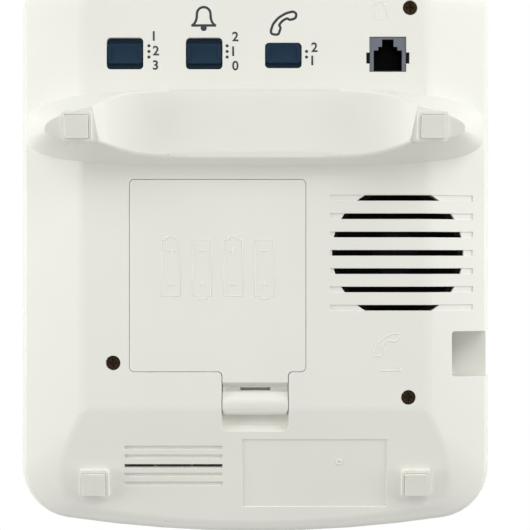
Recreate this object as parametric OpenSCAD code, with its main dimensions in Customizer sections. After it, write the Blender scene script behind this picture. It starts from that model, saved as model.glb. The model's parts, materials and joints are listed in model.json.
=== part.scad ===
// Corded desk telephone: a wedge base with battery door, sockets, loudspeaker and keypad, and its handset.
// Most pieces are drawn in the slab frame: x to the user's right, y to the rear from the crease
// where the flat front pad meets the tilted underside, z square to that underside.

/* [Body] */
// Overall width
body_w = 168; // [162:1:178]
// Crease to the front edge
body_front = 45.1; // [44:0.1:48]
// Crease to the rear wall
body_rear = 156; // [154:0.5:162]
// Thickness of the slab, underside to top
body_t = 36; // [35:0.5:40]
// Height of the line where the two halves of the case meet
parting_z = 17; // [16.8:0.1:18]
// Wall thickness of the case
wall = 2.2; // [1.8:0.1:2.4]
// Tilt of the underside when the phone stands on its feet
tilt = 10; // [8:0.5:11]
// Radius of the bowed front edge in plan
front_bow = 460; // [300:10:900]
// Front corner radius in plan
front_corner = 19; // [16:0.5:22]
// Rear corner radius in plan
rear_corner = 14; // [10:0.5:18]
// Rounding of the top edge
top_round = 6; // [4:0.5:7]
// Half width of the flat part of the underside
floor_half_w = 61; // [59:0.5:62]
// Slope of the side strips beside the flat part
strip_angle = 20; // [16:0.5:22]
// Rounding between a side strip and the wall above it
edge_round = 3; // [2.5:0.1:4]
// How far the lip under the front edge steps back
front_lip = 2.9; // [2:0.1:3.5]

/* [Stand] */
// Ends of the stand ridge, in from the sides of the base
ridge_in = 1.5; // [1.5:0.5:4]
// Middle line of the ridge
ridge_y = 99.5; // [98:0.5:101]
// Half depth of the ridge at its root
ridge_depth = 13.6; // [12.5:0.1:14.5]
// Height of the cable arch above the underside
arch_drop = 8; // [6:0.5:9]
// Half length of the level middle of the arch
arch_flat = 30; // [24:1:34]
// Half length of the arch where it meets the two toes
arch_half = 54.5; // [52:0.5:56]
// Ends of the two toes, in from the ends of the ridge
toe_in = 12; // [10:0.5:13]
// Half depth of the toes in front of their middle line
toe_front = 3.5; // [3:0.1:4.5]
// Half depth of the toes behind their middle line
toe_back = 13.6; // [12.5:0.1:14]

/* [Feet] */
// Height of the pad above the table
foot_h = 3.5; // [3:0.1:4.5]
// Side of the square foot boss
foot_boss = 10.3; // [9.5:0.1:11]
// Height of the foot boss
foot_boss_h = 2.3; // [1.5:0.1:2.6]
// Rim around the rubber pad
foot_rim = 1; // [0.8:0.1:1.4]
// Gap around the rubber pad
foot_gap = 0.1; // [0.05:0.05:0.3]
// Half spacing of the front feet
front_foot_x = 57.3; // [54:0.1:60]
// Front feet, forward of the crease
front_foot_y = 26.7; // [24:0.1:28]
// Half spacing of the rear feet
rear_foot_x = 60.7; // [60:0.1:63]

/* [Battery] */
// Width of the battery cover
cover_w = 62.65; // [62:0.1:64]
// Length of the battery cover
cover_l = 68.3; // [67:0.1:69]
// Middle of the cover across the phone
cover_x = 13.28; // [12.5:0.1:14]
// Front edge of the cover
cover_y = 13.1; // [12.5:0.1:14]
// Thickness of the cover
cover_t = 2; // [1.6:0.1:2]
// Gap around the cover
cover_gap = 0.15; // [0.1:0.05:0.3]
// Width of the latch tongue
latch_w = 23.5; // [20:0.5:25]
// Gap beside the latch tongue
latch_gap = 0.25; // [0.2:0.05:0.4]
// Corner radius of the cover in plan
cover_corner = 1.7; // [1:0.1:2.5]
// Fillet where the latch tongue meets the cover
tongue_round = 1.6; // [1:0.1:2]
// Travel of the latch
latch_travel = 0.8; // [0.5:0.1:0.9]
// Diameter of an AA cell
cell_d = 14.2; // [13.7:0.1:14.4]
// Length of an AA cell with its button
cell_l = 50.5; // [49.5:0.1:50.5]
// Room for a contact spring
spring_l = 6; // [5:0.5:7]

/* [Loudspeaker] */
// Middle of the loudspeaker across the phone
speaker_x = -50.8; // [-52:0.1:-49]
// Middle of the loudspeaker, behind the crease
speaker_y = 55.3; // [54:0.1:57]
// Diameter of the loudspeaker's rim
speaker_d = 50; // [49:0.5:51]
// Diameter of the loudspeaker's magnet
magnet_d = 28; // [26:0.5:30]
// Radius of the round field of open slots
grille_r = 23.6; // [21:0.1:23.6]
// Spacing of the slots
grille_pitch = 6.49; // [6:0.01:7]
// Height of a slot
grille_slot = 2; // [1.4:0.1:2.6]
// Length of the shallow grooves
grille_l = 51.4; // [48:0.1:52]

/* [Switches] */
// Width of a switch window
window_w = 13; // [12:0.1:13.5]
// Height of a three-position window
window_h3 = 11.2; // [10.8:0.1:11.6]
// Height of the two-position window
window_h2 = 9; // [8.8:0.1:9.4]
// Spacing of the windows
window_pitch = 28.05; // [27.5:0.05:28.5]
// Middle of the first window
window_x = 46.1; // [45.5:0.1:46.5]
// Middle line of the three-position windows
window_y = 125.9; // [125:0.1:126.5]
// Length of a knob's finger block
knob_l = 7.1; // [6.5:0.1:7.3]

/* [Sockets] */
// Middle of the line socket across the phone
line_x = -47; // [-48:0.1:-46]
// Middle of the line socket behind the crease
line_y = 125.6; // [125:0.1:126.5]
// Width of the line socket's face
line_w = 12.7; // [12.4:0.1:13]
// Height of the line socket's face
line_h = 12.1; // [11.9:0.1:12.5]
// Width across the line socket's side tabs
line_tabs = 15; // [14.4:0.1:15.4]
// Front end of the handset socket's notch
notch_y = 11.2; // [10.6:0.1:12]
// Length of the notch
notch_l = 16.1; // [15.6:0.1:16.6]
// Depth of the notch from the side wall
notch_deep = 13.9; // [13:0.1:14.5]
// Height of the notch's roof
notch_top = 15; // [14.9:0.1:15.1]
// Width of the handset socket
jack_w = 11.8; // [11:0.1:12.4]
// Length of the handset socket
jack_l = 13; // [12:0.5:14]

/* [Keys] */
// Middle of the right column of keys, in from the right side of the base
key_in = 20.2; // [19.8:0.1:21]
// Spacing of the keys across
key_pitch_x = 27; // [26.5:0.1:27.4]
// Spacing of the rows
key_pitch_y = 21; // [20.6:0.1:21.4]
// Width of a digit key
key_w = 21; // [19:0.1:21.2]
// Height of a digit key
key_h = 15.5; // [14:0.1:15.8]
// Height of the small keys
small_key_h = 9; // [7:0.1:9.4]
// Room between the digit keys and the small keys
row_gap = 11; // [10.6:0.1:11.4]
// Width of a function key
function_key_w = 15.5; // [13:0.1:15.8]
// How far a key stands above the top
key_proud = 3.5; // [2:0.1:5]
// Travel of a key
key_travel = 1.3; // [1:0.1:1.3]
// Gap between a key and its opening
key_gap = 0.35; // [0.3:0.05:0.5]

/* [Handset] */
// Middle of the handset, in from the left side of the base
handset_in = 33.5; // [32.5:0.5:35]
// Front end of the handset, back from the front edge
handset_back = 9.1; // [8.8:0.1:9.8]
// Length of the handset
handset_l = 184; // [182:0.5:184]
// Width of the two cups
cup_w = 48; // [46:0.5:49]
// Length of a cup
cup_l = 42; // [40:0.5:42]
// Width of the grip
grip_w = 40; // [38:0.5:44]
// Depth of the wells in the base
well_deep = 9; // [7:0.5:9.5]
// Gap between a cup and its well
cup_gap = 0.4; // [0.3:0.05:0.6]
// Room under the grip, from the top of the base
finger_room = 15; // [13:0.5:18]
// Height of the handset's back above the top of the base, at its middle
handset_rise = 31; // [30:0.5:33]
// Diameter of the earpiece capsule
capsule_d = 32; // [30:0.5:33]
// Height of the earpiece capsule
capsule_h = 6; // [5:0.5:7]
// Diameter of the earpiece capsule's magnet
capsule_magnet = 20; // [18:0.5:22]
// Length of the handset's weight
weight_l = 38; // [34:1:42]
// Width of the handset's weight
weight_w = 24; // [20:1:26]
// Thickness of the handset's weight
weight_t = 3; // [2:0.5:4.5]

/* [Fasteners] */
// Diameter of a case screw's head
screw_head = 4.9; // [4.5:0.1:5.2]
// Diameter of a case screw's shank
screw_d = 2.9; // [2.6:0.1:3]
// Diameter of a handset screw's head
small_screw_head = 4.4; // [4:0.1:4.6]
// Diameter of a handset screw's shank
small_screw_d = 2.5; // [2.2:0.1:2.6]
// Running clearance around shanks and posts
slack = 0.1; // [0.05:0.05:0.2]

/* [Hidden] */
$fn = 48;
digit_keys = ["key_1", "key_2", "key_3", "key_4", "key_5", "key_6", "key_7", "key_8", "key_9",
  "key_star", "key_0", "key_hash"];
function_keys = ["key_recall", "key_redial", "key_mute", "key_speaker"];
memory_keys = ["key_memory_1", "key_memory_2", "key_memory_3"];
knobs = ["recall_knob", "ringer_knob", "receiver_knob"];

// Small overlap that keeps cuts clean, and a size past any edge of the phone
eps = 0.01;
far = 300;
half_w = body_w / 2;
rest_gap = 0.15;
cream = "#e6e6de";
navy = "#293a4a";

// Edge of the side strip: rounding from the strip up to the wall
edge_turn = 90 - strip_angle;
function edge_in(b) = edge_round * (1 - cos(b));
strip_top = (half_w - edge_in(edge_turn) - floor_half_w) * tan(strip_angle);
edge_z = strip_top + edge_round * sin(edge_turn);
edge_steps = 4;
floor_front = 30;
floor_corner = 24;
floor_rear_in = 4;
inner_top = body_t - wall;

// Places that follow the pieces they belong to
well_wall = 1.8;
well_l = cell_l + spring_l + 1.5;
cell_pitch = cell_d + 0.5;
cell_bottom = cover_t + 0.6;
cell_top = cell_bottom + cell_d;
well_w = 3 * cell_pitch + cell_d + 1.15;
well_mid = cover_y + cover_l / 2;
well_roof = cell_top + 0.5;
cover_rear = cover_y + cover_l - cover_gap;
tab_w = 5.5;
tab_x = [19.3, -18.8];
tongue_tip = -2.5;
tip_lap = 0.9;
tongue_w = latch_w - latch_gap;
tongue_slot = latch_w + latch_gap;
board_z = 14;
board_t = 1.6;
switch_h = 5;
speaker_z = (abs(speaker_x) + speaker_d / 2 - floor_half_w) * tan(strip_angle) + wall / cos(strip_angle) + 0.2;
speaker_rim = 1.5;
basket_h = 6;
magnet_h = 8;
basket_r = magnet_d / 2 + 1;
neck_r = 9;
key_right = half_w - key_in;
key_row0 = 5.8;
function key_col(c) = key_right - (2 - c) * key_pitch_x;
function key_row(r) = key_row0 + (3 - r) * key_pitch_y;
key_mid_x = key_col(1);
function_pitch = function_key_w + 4;
function_y = key_row(3) - key_h / 2 - small_key_h / 2 - row_gap;
memory_y = key_row(0) + key_h / 2 + small_key_h / 2 + row_gap;
flange_t = 1.35;
flange_out = 1.2;
flange_bottom = inner_top - rest_gap - flange_t;
mat_dome = 0.8;
mat_top = flange_bottom - key_travel - 0.2 - mat_dome;
mat_t = 1;
keypad_z = mat_top - mat_t - board_t;
keypad_y = [function_y - small_key_h / 2 - 4, memory_y + small_key_h / 2 + 36];
keypad_x = [key_col(0) - key_w / 2 - 4, half_w - wall - 3];
lamp_pos = [key_col(2), memory_y + 30];
post_d = 5;
posts = [for (y = [key_row(3) - (key_h + row_gap) / 2, key_row(1) - key_pitch_y / 2, key_row(0) + (key_h + row_gap) / 2])
  for (c = [0.5, 1.5]) [key_col(c), y]];
handset_x = -half_w + handset_in;
screw_pos = [[handset_x - 4.4, 142.1], [key_col(1.5), key_row(2.5)], [handset_x - 3.8, 4.1], [53, body_rear - 8.5]];
screw_sunk = 1.2;
screw_head_t = 2;
boss_top = parting_z - 1.2;
board_posts = [for (x = [window_x - window_pitch / 2, window_x - 1.5 * window_pitch])
  for (y = [window_y - 6, window_y + 20]) [x, y]];
board_margin = 9;
board_x = [line_x - line_w / 2 - board_margin, window_x + window_w / 2 + board_margin];
board_y = [window_y - 10.5, window_y + 24];
handset_y0 = -body_front + handset_back;
handset_y1 = handset_y0 + handset_l;
handset_y = (handset_y0 + handset_y1) / 2;
well_floor = body_t - well_deep;
cup_z = well_floor + cup_gap;
grip_z = body_t + finger_room;
back_z = body_t + handset_rise;
split_z = grip_z + 5;
end_round = 14;
cup_blend = 12;
ear_y = handset_y1 - cup_l / 2 - 1;
mouth_y = handset_y0 + cup_l / 2 + 1;
plunger_pos = [handset_x + 16.5, ear_y - 4];
plunger_size = [7, 11];
plunger_travel = 4;
plunger_flange = 13;
plunger_z = well_floor + 0.25;
flange_z = well_floor - wall - plunger_travel - 0.2;
hook_h = 3.2;
socket_z = cup_z + 16;
capsule_z = cup_z + 2.6;
mic_pos = [29.2, -20.7 / cos(tilt)];
mic_d = 9.7;
mic_h = 5;
mic_boss_h = wall + 4;

// The origin is under the middle of the whole phone, on the table
front_reach = top_round + (body_front - top_round) * cos(tilt) + (body_t - top_round) * sin(tilt);
rear_reach = edge_round + (body_rear - edge_round) * cos(tilt) - edge_z * sin(tilt);
centre_y = (rear_reach - front_reach) / 2;

module pad() translate([0, -centre_y, foot_h]) children();
module slab() pad() rotate([tilt, 0, 0]) children();
// From the slab frame back to the level pad
module level() rotate([-tilt, 0, 0]) children();
module below_pad(z) level() translate([-far, -far, z - far]) cube([2 * far, 2 * far, far]);

function arc(c, r, a0, a1, n, first = 0, last = 0) =
  [for (i = [first:n - last]) c + r * [cos(a0 + (a1 - a0) * i / n), sin(a0 + (a1 - a0) * i / n)]];

// Plan outline of the base: half width, front and rear edge, front and rear corner radius
bow_steps = 8;
corner_steps = 8;
function plan(hw, yf, yr, rf, rr) =
  let (by = yf + front_bow, a = asin((hw - rf) / (front_bow - rf)), cy = by - (front_bow - rf) * cos(a))
  concat(
    arc([0, by], front_bow, -90 - a, -90 + a, bow_steps),
    arc([hw - rf, cy], rf, -90 + a, 0, corner_steps, 1),
    arc([hw - rr, yr - rr], rr, 0, 90, corner_steps),
    arc([-hw + rr, yr - rr], rr, 90, 180, corner_steps),
    arc([-hw + rf, cy], rf, 180, 270 - a, corner_steps, 0, 1));
function body_plan(inset) =
  plan(half_w - inset, -body_front + inset, body_rear - inset, front_corner - inset, rear_corner - inset);

function ring(outline, z) = [for (p = outline) [p[0], p[1], z]];

// Outside of the base up to a level, before the pad is cut
module under_form(top) skin(concat(
  [ring(body_plan(0), top)],
  [for (i = [0:edge_steps])
    let (b = edge_turn * i / edge_steps, in = edge_in(b), lip = front_lip * in / edge_in(edge_turn))
    ring(plan(half_w - in, -body_front + lip, body_rear - in, front_corner - in, rear_corner - in),
      edge_z - edge_round * sin(b))],
  [ring(plan(floor_half_w, -floor_front, body_rear - floor_rear_in, floor_corner, rear_corner - floor_rear_in), 0)]));

// Inside of the base below a level
module under_hollow(top) {
  inner_half = floor_half_w - wall * tan(strip_angle / 2);
  strip_end = wall + (half_w - wall - inner_half) * tan(strip_angle);
  rear = body_rear - wall;
  skin([
    ring(body_plan(wall), top),
    ring(body_plan(wall), strip_end + 2.7),
    ring(plan(half_w - wall, -body_front + wall + 1.6, rear, front_corner - wall, rear_corner - wall), strip_end),
    ring(plan(inner_half, -floor_front + wall / 2, rear - floor_rear_in, floor_corner - 1, rear_corner - 5), wall)]);
}

module top_form(inset, top, from) {
  r = top_round - inset;
  skin(concat(
    [for (a = [90:-22.5:0]) ring(body_plan(inset + r * (1 - cos(a))), top - r + r * sin(a))],
    [ring(body_plan(inset), from)]));
}

// Rounded rectangle about its middle
module rrect(w, h, r) {
  square([w - 2 * r, h], center = true);
  square([w, h - 2 * r], center = true);
  for (x = [-1, 1], y = [-1, 1]) translate([x * (w / 2 - r), y * (h / 2 - r)]) circle(r);
}
module rblock(w, h, r, z0, z1) translate([0, 0, z0]) linear_extrude(z1 - z0) rrect(w, h, r);
module block(size, pos) translate(pos - [size[0] / 2, size[1] / 2, 0]) cube(size);
module pillar(d, pos, z0, z1) translate([pos[0], pos[1], z0]) cylinder(d = d, h = z1 - z0);

// Profile drawn in y and z, run across the phone over a width
module across(w, x = 0) translate([x - w / 2, 0, 0]) rotate([90, 0, 90]) linear_extrude(w) children();

// Closed tube along a path, with one reference direction per point
function unit(v) = v / norm(v);
module sweep(path, refs, r, sides) {
  n = len(path);
  rings = [for (i = [0:n - 1])
    let (t = unit(path[min(i + 1, n - 1)] - path[max(i - 1, 0)]), u = unit(cross(t, refs[i])), w = cross(u, t))
    [for (k = [0:sides - 1]) path[i] + r * (cos(360 * k / sides) * u + sin(360 * k / sides) * w)]];
  skin(rings);
}
// Closed skin over rings of equal length, wound so that its faces point out
module skin(rings) {
  n = len(rings);
  m = len(rings[0]);
  polyhedron(
    points = [for (ring = rings) for (p = ring) p],
    faces = concat(
      [[for (k = [0:m - 1]) m - 1 - k]],
      [for (i = [0:n - 2]) for (k = [0:m - 1]) [i * m + k, i * m + (k + 1) % m, (i + 1) * m + (k + 1) % m]],
      [for (i = [0:n - 2]) for (k = [0:m - 1]) [i * m + k, (i + 1) * m + (k + 1) % m, (i + 1) * m + k]],
      [[for (k = [0:m - 1]) (n - 1) * m + k]]));
}
// Coil about z
module coil(r, wire, turns, h) {
  steps = 10 * turns;
  sweep(
    [for (i = [0:steps]) [r * cos(36 * i), r * sin(36 * i), wire / 2 + (h - wire) * i / steps]],
    [for (i = [0:steps]) [cos(36 * i), sin(36 * i), 0]],
    wire / 2, 6);
}

// Stand ridge
function ridge_outline(a, front, rear, front_power, rear_power, y) =
  [for (t = [0:6:354]) let (p = sin(t) < 0 ? front_power : rear_power, d = sin(t) < 0 ? front : rear)
    [a * sign(cos(t)) * pow(abs(cos(t)), 2 / p), y + d * sign(sin(t)) * pow(abs(sin(t)), 2 / p)]];
ridge_half = half_w - ridge_in;
toe_y = ridge_y - 1.5;
toe_drop = (ridge_y + ridge_depth) * tan(tilt);
ridge_swell = 1.4;
ridge_steps = 4;
// Root of the ridge: level on the flat floor, rising with the side strips
function root_z(x) = 0.5 + max(0, abs(x) - floor_half_w) * tan(strip_angle);
// From the root down to the toes, with sides that swell out
module ridge_form(inset, top) {
  root = ridge_outline(ridge_half - inset, ridge_depth - inset, ridge_depth - inset, 3.4, 3.4, ridge_y);
  toe = ridge_outline(ridge_half - toe_in - inset, toe_front - inset, toe_back - inset, 4, 1.6, toe_y);
  skin(concat([ring(root, top)], [for (i = [0:ridge_steps]) let (s = i / ridge_steps, g = pow(s, ridge_swell))
    [for (k = [0:len(root) - 1]) let (p = root[k] + g * (toe[k] - root[k]), z = root_z(root[k][0]))
      [p[0], p[1], z - s * (z + toe_drop)]]]));
}
// Tunnel under the ridge, with arcs from its level middle out to the toes
module arch_tunnel(lift) {
  toe_z = ridge_y * tan(tilt);
  run = arch_half - arch_flat;
  rise = toe_z - arch_drop;
  r = (run * run + rise * rise) / (2 * rise);
  end = asin(run / r) + 8;
  side = [for (i = [0:10]) [arch_flat + r * sin(end * i / 10), -arch_drop - r * (1 - cos(end * i / 10))]];
  left = [for (i = [0:10]) [-side[10 - i][0], side[10 - i][1]]];
  translate([0, ridge_y + far / 2, lift]) rotate([90, 0, 0]) linear_extrude(far)
    polygon(concat(side, [[side[10][0], -far], [-side[10][0], -far]], left));
}

foot_places = [[front_foot_x, -front_foot_y / cos(tilt)], [-front_foot_x, -front_foot_y / cos(tilt)],
  [rear_foot_x, (ridge_y - 1) / cos(tilt)], [-rear_foot_x, (ridge_y - 1) / cos(tilt)]];
foot_pad = foot_boss - 2 * foot_rim - 2 * foot_gap;
module each_foot() for (p = foot_places) translate([p[0], p[1], 0]) children();

// Cuts of the loudspeaker grille: shallow grooves that follow the floor and its side strip, open in a circle
module grille_rows() for (i = [-3:3]) translate([0, speaker_y + i * grille_pitch, 0]) children();
module grille_cuts() {
  groove = 0.4;
  outer_end = abs(speaker_x) + grille_l / 2 + 1.4;
  flat_l = floor_half_w + 0.2 - (outer_end - grille_l);
  grille_rows() {
    translate([-floor_half_w - 0.2, -grille_slot / 2, -1]) cube([flat_l, grille_slot, 1 + groove]);
    translate([-floor_half_w, 0, 0]) rotate([0, strip_angle, 0])
      translate([-(outer_end - floor_half_w) / cos(strip_angle), -grille_slot / 2, -1])
        cube([(outer_end - floor_half_w) / cos(strip_angle), grille_slot, 1 + groove]);
  }
  intersection() {
    pillar(2 * grille_r, [speaker_x, speaker_y], -1, speaker_z + 1);
    grille_rows() translate([speaker_x - far / 2, -grille_slot / 2, -1]) cube([far, grille_slot, speaker_z + 1]);
  }
}

// Front pad: vent grooves with one open row, and the plain label recess
vent_rows = [14.0, 17.2, 20.7, 23.9, 27.1];
module pad_cuts() level() {
  for (i = [0:4]) translate([11.7, -vent_rows[i] / cos(tilt) - 0.65, -1])
    cube([34.9, 1.3, i == 2 ? mic_boss_h + 2 : 1.8]);
  translate([-46.9, -35.6 / cos(tilt), -1]) cube([51.6, 24.6 / cos(tilt), 1.4]);
}

// Where each knob rests, as a share of its travel either way
knob_rest = [0, 0, 1];
function window_h(i) = i < 2 ? window_h3 : window_h2;
function window_pos(i) = [window_x - i * window_pitch, window_y - (i < 2 ? 0 : 0.7)];
function knob_travel(i) = (window_h(i) - knob_l) / 2 - 0.05;
function knob_y(i) = window_pos(i)[1] + knob_rest[i] * knob_travel(i);

line_plug = [[10.0, 119.7 - 125.6, 127.0 - 125.6], [6.76, 1, 128.3 - 125.6], [4.07, 2, 130.9 - 125.6]];
jack_x = -half_w + notch_deep;
jack_z = 5.4;
jack_mid = notch_y + notch_l / 2;
scoop_y = -8.1;
scoop_z = -1;
scoop_r = norm([scoop_y - tongue_tip + 0.4, -scoop_y * tan(tilt) - scoop_z]);
scoop_corner = 2;
notch_corner = 1;
chamber_h = 5.6;

// Fillets in the two inner corners where the tongue leaves the cover
module tongue_fillets(half, y, z0, z1) for (s = [0, 1]) mirror([s, 0, 0]) translate([half - eps, y + eps, z0])
  linear_extrude(z1 - z0) difference() {
    translate([0, -tongue_round]) square(tongue_round);
    translate([tongue_round, -tongue_round]) circle(tongue_round);
  }

// Ribs, posts and housings that stand inside the lower half
module lower_inside() {
  difference() {
    union() {
      rim_ring(wall - 0.5, edge_z - 0.5, parting_z);
      rim_ring(wall + rest_gap, parting_z - 1, parting_z + 1.8);
    }
    translate([0, 0, edge_z - 1]) linear_extrude(far) polygon(body_plan(wall + rest_gap + 1.2));
  }
  block([cover_w + 2 * well_wall, cover_l + 2 * well_wall + 2, 4.4], [cover_x, well_mid + 1, 1]);
  block([well_w + 2 * well_wall, well_l + 2 * well_wall, well_roof + well_wall - 1], [cover_x, well_mid, 1]);
  block([latch_w + 4, 26, chamber_h + 1.2], [0, tongue_tip + 5, 0.4]);
  pillar(speaker_d + 5, [speaker_x, speaker_y], 1, speaker_z + speaker_rim + 0.2);
  translate([jack_x - 13, notch_y - 1.8, 0]) cube([13 + 1.8, notch_l + 3.6, notch_top + 1.8]);
  block([3, jack_w, jack_z - slack - 1], [jack_x + jack_l - 2.5, jack_mid, 1]);
  for (p = screw_pos) pillar(8, p, 0.5, boss_top);
  for (p = board_posts) pillar(6, p, 1, board_z);
  level() pillar(mic_d + 4.4, mic_pos, 0.5, mic_boss_h);
}
module rim_ring(inset, z0, z1) translate([0, 0, z0]) linear_extrude(z1 - z0) polygon(body_plan(inset));

module lower_case() color(cream) slab() difference() {
  union() {
    difference() {
      union() {
        difference() {
          union() {
            under_form(parting_z);
            ridge_form(0, edge_z - 1.5);
          }
          difference() {
            under_hollow(parting_z + 1);
            below_pad(wall);
          }
        }
        intersection() {
          under_form(parting_z + 3);
          lower_inside();
        }
      }
      below_pad(0);
      arch_tunnel(0);
    }
    level() each_foot() rblock(foot_boss, foot_boss, 1, -foot_boss_h, 1.5);
  }
  difference() {
    ridge_form(wall, edge_z - 0.8);
    below_pad(wall);
    arch_tunnel(wall);
  }
  level() each_foot() rblock(foot_boss - 2 * foot_rim, foot_boss - 2 * foot_rim, 0.6, -foot_boss_h - 1, -0.6);
  translate([cover_x, well_mid, 0]) rblock(cover_w, cover_l, cover_corner + cover_gap, -1, cover_t + 0.1);
  block([well_w, well_l, well_roof], [cover_x, well_mid, 0]);
  for (x = tab_x) block([tab_w + 0.6, 4.4, 3.6], [cover_x + x, cover_rear + 1, 0.85]);
  block([tongue_slot, cover_y + 1 - tongue_tip - tip_lap, chamber_h + 1],
    [0, (cover_y + 1 + tongue_tip + tip_lap) / 2, -1]);
  tongue_fillets(tongue_slot / 2, cover_y, -1, cover_t + 0.1);
  intersection() {
    across(tongue_slot) intersection() {
      translate([tongue_tip - 0.4, scoop_z]) circle(scoop_r);
      translate([-far + tongue_tip + tip_lap + eps, -far / 2]) square([far, far]);
    }
    translate([0, scoop_y + far / 2, 0]) rblock(tongue_slot, far, scoop_corner, -far, far);
  }
  for (i = [0:2]) translate(window_pos(i)) rblock(window_w, window_h(i), 1.4, -1, wall + 1);
  block([line_w + 0.3, line_h + 0.3, wall + 2], [line_x, line_y, -1]);
  block([line_tabs + 0.3, 3.95, wall + 2], [line_x, line_y - 1.3, -1]);
  for (p = screw_pos) {
    pillar(screw_head + 0.3, p, -1, screw_sunk + screw_head_t);
    pillar(screw_d + 4 * slack, p, 0, far);
  }
  for (p = board_posts) pillar(2 + 2 * slack, p, wall + 2, far);
  pillar(speaker_d + 0.4, [speaker_x, speaker_y], speaker_z, far);
  pillar(2 * grille_r + 0.2, [speaker_x, speaker_y], speaker_z - 1, far);
  intersection() {
    pillar(2 * grille_r + 0.2, [speaker_x, speaker_y], 1, speaker_z);
    under_hollow(parting_z);
  }
  grille_cuts();
  pad_cuts();
  level() pillar(mic_d + 2.2, mic_pos, wall, far);
  translate([jack_x - far / 2, jack_mid, 0]) rblock(far, notch_l, notch_corner, -far / 2, notch_top);
  translate([jack_x - 1, jack_mid - jack_w / 2 - slack, jack_z - slack])
    cube([jack_l + 2, jack_w + 2 * slack, notch_top - jack_z + 2 * slack]);
}

module key_openings() {
  for (i = [0:11]) translate([key_col(i % 3), key_row(floor(i / 3)), 0])
    rblock(key_w + 2 * key_gap, key_h + 2 * key_gap, 3, inner_top - 1, far);
  for (i = [0:3]) translate([function_x(i), function_y, 0])
    rblock(function_key_w + 2 * key_gap, small_key_h + 2 * key_gap, 2.5, inner_top - 1, far);
  for (i = [0:2]) translate([key_col(i), memory_y, 0])
    rblock(key_w + 2 * key_gap, small_key_h + 2 * key_gap, 2.5, inner_top - 1, far);
}
function function_x(i) = key_mid_x + (i - 1.5) * function_pitch;

cup_corner = 12;
// Wells for the two cups: room all round, and on to where the underside of the grip has cleared the top
cup_room = 2;
well_run = cup_l + 0.45 * cup_blend;
module cup_wells(out, z0, z1)
  for (y = [handset_y1 - well_run / 2, handset_y0 + well_run / 2]) translate([handset_x, y, 0])
    rblock(cup_w + 2 * cup_room + 2 * out, well_run + 2 * cup_room + 2 * out, cup_corner + out, z0, z1);

module upper_case() color(cream) slab() difference() {
  union() {
    difference() {
      top_form(0, body_t, parting_z);
      top_form(wall, inner_top, parting_z - 1);
    }
    cup_wells(2, well_floor - wall, inner_top + 1);
    for (p = posts) pillar(post_d, p, keypad_z + board_t, inner_top + 1);
    pillar(6.6, screw_pos[1], boss_top + 0.2, inner_top + 1);
    pillar(6.6, screw_pos[3], boss_top + 0.2, inner_top + 1);
    for (i = [0, 2]) pillar(6.6, screw_pos[i], boss_top + 0.2, well_floor - 1);
  }
  cup_wells(0, well_floor, far);
  key_openings();
  for (p = posts) pillar(2 + 2 * slack, p, 0, inner_top - 1);
  for (p = screw_pos) pillar(screw_d + 2 * slack, p, 0, boss_top + 7);
  translate([lamp_pos[0], lamp_pos[1], 0]) cylinder(d = 9.4, h = far);
  translate([plunger_pos[0], plunger_pos[1], 0])
    rblock(plunger_size[0] + 0.6, plunger_size[1] + 0.6, 2, flange_z, well_floor + 1);
}

module battery_cover() color(cream) slab() difference() {
  union() {
    translate([cover_x, well_mid, 0]) rblock(cover_w - 2 * cover_gap, cover_l - 2 * cover_gap, cover_corner, 0, cover_t);
    for (x = tab_x) block([tab_w, 2.6 + 1, 1], [cover_x + x, cover_rear + 0.8, 1]);
    across(tongue_w) polygon([[16, 0], [9.4, 0], [7.9, 3], [4.4, 3], [4.4, 4.5], [8.7, 4.5], [10.6, 2], [16, 2]]);
    tongue_fillets(tongue_w / 2, cover_y + cover_gap, 0, cover_t);
  }
  block([10.6, 1, 4], [0, 6.9, 2]);
}

module battery_latch() color(cream) slab() across(tongue_w)
  polygon([[6.1, 2.85], [6.1, 2.2], [5.2, 1.55], [4.3, 0.9], [3.5, 0.4], [2.7, 0.1], [1.8, 0], [0, 0.15], [-1.4, 0.75],
    [-2.3, 1.9],
    [tongue_tip, 4.4], [-1.2, 4.4], [-1, 2.6], [0.5, 1.7], [2.4, 1.7], [3.2, 2.85]]);

module battery_cells() color("#3f5f3a") slab() for (i = [0:3]) {
  turn = i % 2 == 0 ? 1 : -1;
  translate([cover_x + (i - 1.5) * cell_pitch, well_mid + turn * (spring_l / 2), cell_bottom + cell_d / 2])
    rotate([-90 * turn, 0, 0]) {
      translate([0, 0, -cell_l / 2]) cylinder(d = cell_d, h = cell_l - 1.3);
      translate([0, 0, cell_l / 2 - 1.3 - eps]) cylinder(d = 5.5, h = 1.3);
    }
}
module battery_contacts() color("silver") slab() for (i = [0:3], s = [-1, 1])
  translate([cover_x + (i - 1.5) * cell_pitch, well_mid + s * (well_l / 2 - 0.3), cell_bottom + cell_d / 2])
    cube([10, 0.4, 10], center = true);
module battery_springs() color("silver") slab() for (i = [0:3]) {
  turn = i % 2 == 0 ? 1 : -1;
  translate([cover_x + (i - 1.5) * cell_pitch, well_mid - turn * (well_l / 2 - 0.6), cell_bottom + cell_d / 2])
    rotate([-90 * turn, 0, 0]) coil(4, 0.8, 4, spring_l - 0.15);
}

module rubber_feet() color("#d9d8cf") pad() each_foot()
  rblock(foot_pad, foot_pad, 0.5, -foot_h, -0.6);

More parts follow.
